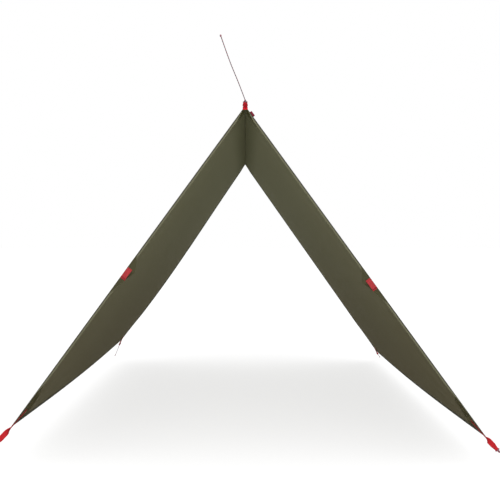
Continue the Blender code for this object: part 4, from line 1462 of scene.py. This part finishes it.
@dataclass(frozen=True)
class Ridge:
    """The rolled seam along the ridge, the loops at its two ends and the guyline."""

    seam_radius: float = 0.0025
    seam_lap: float = 0.16
    seam_pucker: float = 0.02
    seam_pucker_rate: float = 210.0
    seam_rows: Pair = (-0.55, 0.55)
    seam_row_depth: float = 0.985
    seam_stitches: int = 740
    seam_first_stitch: float = 0.004
    seam_pitch: float = 0.004045
    seam_stitch: float = 0.0031
    front_nose: float = 0.006
    rear_nose: float = 0.002
    loop_nose: tuple[Pair, ...] = (
        (0.0000, 0.0000), (0.0003, 0.0016), (0.0018, 0.0036), (0.0050, 0.0052),
        (0.0120, 0.0059), (0.0220, 0.0055),
    )
    loop_top: tuple[Pair, ...] = (
        (0.0332, -0.0036), (0.0400, -0.0062), (0.0440, -0.0064), (0.0600, -0.0064)
    )
    loop_apron: tuple[Pair, ...] = (
        (0.0300, -0.0140), (0.0345, -0.0160), (0.0368, -0.0190), (0.0379, -0.0228)
    )
    loop_narrows_over: float = 0.044
    loop_nose_share: float = 0.50
    loop_tacks: Pair = (0.0455, 0.0565)
    rear_loop_length: float = 0.045
    rear_loop_lift: float = math.radians(24)
    rear_end_to_hinge: float = 0.0010
    outer_centre: float = 0.037
    outer_length: float = 0.030
    outer_from_hem: float = 0.0005

    def build(self) -> None:
        """Build the guyline, the seam and the loops."""
        pull = Vector((0, *GUYLINE_ROUTE[-1][1:]))
        nose = frame_of(Vector((0, 0, 0)), pull, Vector((1, 0, 0)))
        CordLine("ridge_guyline", "ridge", nose, GUYLINE_ROUTE).build()
        self.seam()
        self.front_loop()
        lift = Vector((0, math.cos(self.rear_loop_lift), math.sin(self.rear_loop_lift)))
        way = RIDGE_LENGTH + self.rear_nose + self.rear_end_to_hinge
        hinge = frame_of(RIDGE_FRONT + Vector((0, way, 0)), lift, Vector((-1, 0, 0)))
        node = "rear_ridge_loop"
        length = self.rear_loop_length
        FoldedStrap(node, f"{node}_body", hinge, length, first_tack=0.006, plain=True).build()
        middle_along = self.outer_from_hem + self.outer_length / 2

        def place(way: float, aside: float, rise: float) -> Vector:
            """Return the place over the right panel on which the outer loop stands."""
            return RIGHT.at(middle_along + way, self.outer_centre + aside, WEBBING_HEIGHT + rise)

        node = "right_outer_ridge_loop"
        Arch(node, RIGHT.body, self.outer_length, place, SHADED_RED_WEBBING).build()

    def seam(self) -> None:
        """Build the rolled seam with its lapped edge and its stitches."""

        def place(along: float, share: float) -> Vector:
            """Return the seam's place at this way along and this share of a turn."""
            radius = self.seam_radius * (1 - self.seam_lap * eased(share, 0.02, 0.98))
            radius *= 1 - self.seam_pucker * math.sin(along * self.seam_pucker_rate)
            turn = math.tau * share
            aside = Vector((math.sin(turn) * radius, along, -math.cos(turn) * radius))
            return RIDGE_FRONT + aside

        alongs = spread(-self.front_nose, RIDGE_LENGTH + self.rear_nose, 500)
        shares = spread(0, 1, 20)
        shape = Shape().grid(alongs, shares, place, lambda way, share: (way, share * 0.016), True)
        width = len(alongs)
        last = width * (len(shares) - 1)
        shape.faces.append(tuple(range(last, -1, -width)))
        shape.faces.append(tuple(range(width - 1, last + width, width)))
        Piece("ridge_seam", "roll", "ridge", CANOPY).make(shape)
        thread = Shape()
        stitch = Vector((0, self.seam_stitch, 0))
        for angle in self.seam_rows:
            out = Vector((math.sin(angle), 0, -math.cos(angle)))
            middle = RIDGE_FRONT + out * (self.seam_radius * self.seam_row_depth)
            for index in range(self.seam_stitches):
                way = self.seam_first_stitch + index * self.seam_pitch
                start = middle + Vector((0, way, 0))
                thread.stitch(start, start + stitch, out, ROW_STITCH)
        Piece("ridge_seam", "thread", "ridge", THREAD).make(thread)

    def front_loop(self) -> None:
        """Build the loop sewn over the front of the ridge, which draws forward to its eye."""
        back = RIDGE_FRONT.yz.normalized()
        off = Vector((-back.y, back.x))
        upper, lower = (
            [back * way + off * (height * side) for way, height in self.loop_nose]
            for side in (1, -1)
        )
        line = [*reversed(self.loop_top), *reversed(upper), *lower[1:], *self.loop_apron]

        def place(middle: Vector, aside: float) -> Vector:
            """Return the webbing's place, which draws in towards the eye."""
            full = eased(middle.y, 0, self.loop_narrows_over)
            width = self.loop_nose_share + (1 - self.loop_nose_share) * full
            return middle + Vector((aside * width, 0, 0))

        node = "front_ridge_loop"
        piece = Piece(node, "webbing", "ridge", LIT_RED_WEBBING)
        lay_webbing(piece, smooth_through([(0.0, y, z) for y, z in line], 0.0009), place)
        thread = Shape()
        top = self.loop_top[-1][1] + WEBBING_HALF
        for way in self.loop_tacks:
            thread.bar_tack(lambda w, a: Vector((a, w, top)), Vector((0, 0, 1)), way)
        Piece(node, "thread", "ridge", RED_THREAD).make(thread)


# The studio


@dataclass(frozen=True)
class Studio:
    """The camera at the photograph's angle, the soft light and the pale floor."""

    camera_place: Triple = (0.0, -3.62, -0.495)
    focal_pixels: float = 976.0
    vanishing_point: Pair = (245.2, 235.5)
    sensor: float = 36.0
    world_strength: float = 0.85
    floor_reach: float = 60.0
    floor_color: Triple = (0.30, 0.30, 0.30)
    seen_floor_color: Triple = (0.38, 0.38, 0.38)
    floor_glow: float = 0.745

    def build(self) -> None:
        """Build the camera, the lights, the world and the floor."""
        self.camera()
        self.world()
        self.floor()
        self.lamp("front_softbox", (0.0, -4.6, 1.6), (0.0, 1.2, -0.6), (4.0, 2.4), 95.0)
        self.lamp("left_softbox", (-3.2, -2.6, -0.2), (0.4, 1.2, -0.7), (2.2, 2.2), 22.0)
        self.lamp("right_softbox", (3.2, -2.6, -0.2), (-0.4, 1.2, -0.7), (2.2, 2.2), 22.0)
        bpy.context.scene.view_settings.view_transform = "Standard"

    def camera(self) -> None:
        """Place the camera so that the ridge's vanishing point lies where the photo has it."""
        data = bpy.data.cameras.new("photo_camera")
        data.sensor_width = self.sensor
        data.lens = self.focal_pixels * self.sensor / PHOTO_SIZE
        data.shift_x = (PHOTO_SIZE / 2 - self.vanishing_point[0]) / PHOTO_SIZE
        data.shift_y = (self.vanishing_point[1] - PHOTO_SIZE / 2) / PHOTO_SIZE
        data.clip_end = 400.0
        camera = linked(data.name, data)
        camera.location = self.camera_place
        camera.rotation_euler = (math.pi / 2, 0.0, 0.0)
        bpy.context.scene.camera = camera

    def lamp(self, name: str, place: Triple, target: Triple, size: Pair, power: float) -> None:
        """Place a softbox that shines from place to target."""
        data = bpy.data.lights.new(name, "AREA")
        data.shape = "RECTANGLE"
        data.size, data.size_y = size
        data.energy = power
        lamp = linked(name, data)
        lamp.location = place
        way = Vector(target) - Vector(place)
        lamp.rotation_euler = way.to_track_quat("-Z", "Y").to_euler()
        lamp.visible_camera = False

    def world(self) -> None:
        """Make a world that is white to the eye and lights the tarp evenly."""
        world = bpy.data.worlds.new("studio_world")
        bpy.context.scene.world = world
        world.use_nodes = True
        sheet = NodeSheet(world.node_tree)
        world.node_tree.nodes.clear()
        light = sheet.add("Background", WHITE, self.world_strength)
        white = sheet.add("Background", WHITE, 1.0)
        sheet.add("OutputWorld", sheet.by_ray(light, white))

    def floor(self) -> None:
        """Lay a pale floor that keeps the tarp's soft shadow."""
        ways = spread(-self.floor_reach, self.floor_reach, 2)
        shape = Shape().grid(ways, ways, lambda x, y: Vector((x, y, FLOOR_HEIGHT)))
        obj = shape.to_object("studio_floor")
        material = bpy.data.materials.new("pale_floor")
        material.use_nodes = True
        sheet = NodeSheet(material.node_tree)
        material.node_tree.nodes.clear()
        bounce = sheet.add("BsdfDiffuse", self.floor_color)
        glow = sheet.add("Emission", WHITE, self.floor_glow)
        seen = sheet.add("AddShader", sheet.add("BsdfDiffuse", self.seen_floor_color), glow)
        sheet.add("OutputMaterial", sheet.by_ray(bounce, seen))
        obj.data.materials.append(material)


def main() -> None:
    """Build the studio and every piece of the tarp."""
    logging.basicConfig(level=logging.INFO, format="%(name)s %(message)s")
    Studio().build()
    Ridge().build()
    for panel in (LEFT, RIGHT):
        for corner in (panel.front, panel.rear):
            CornerStrap(corner, panel).build()
            HemTab(corner, panel).build()
        PanelCloth(panel).build()


if __name__ == "__main__":
    main()
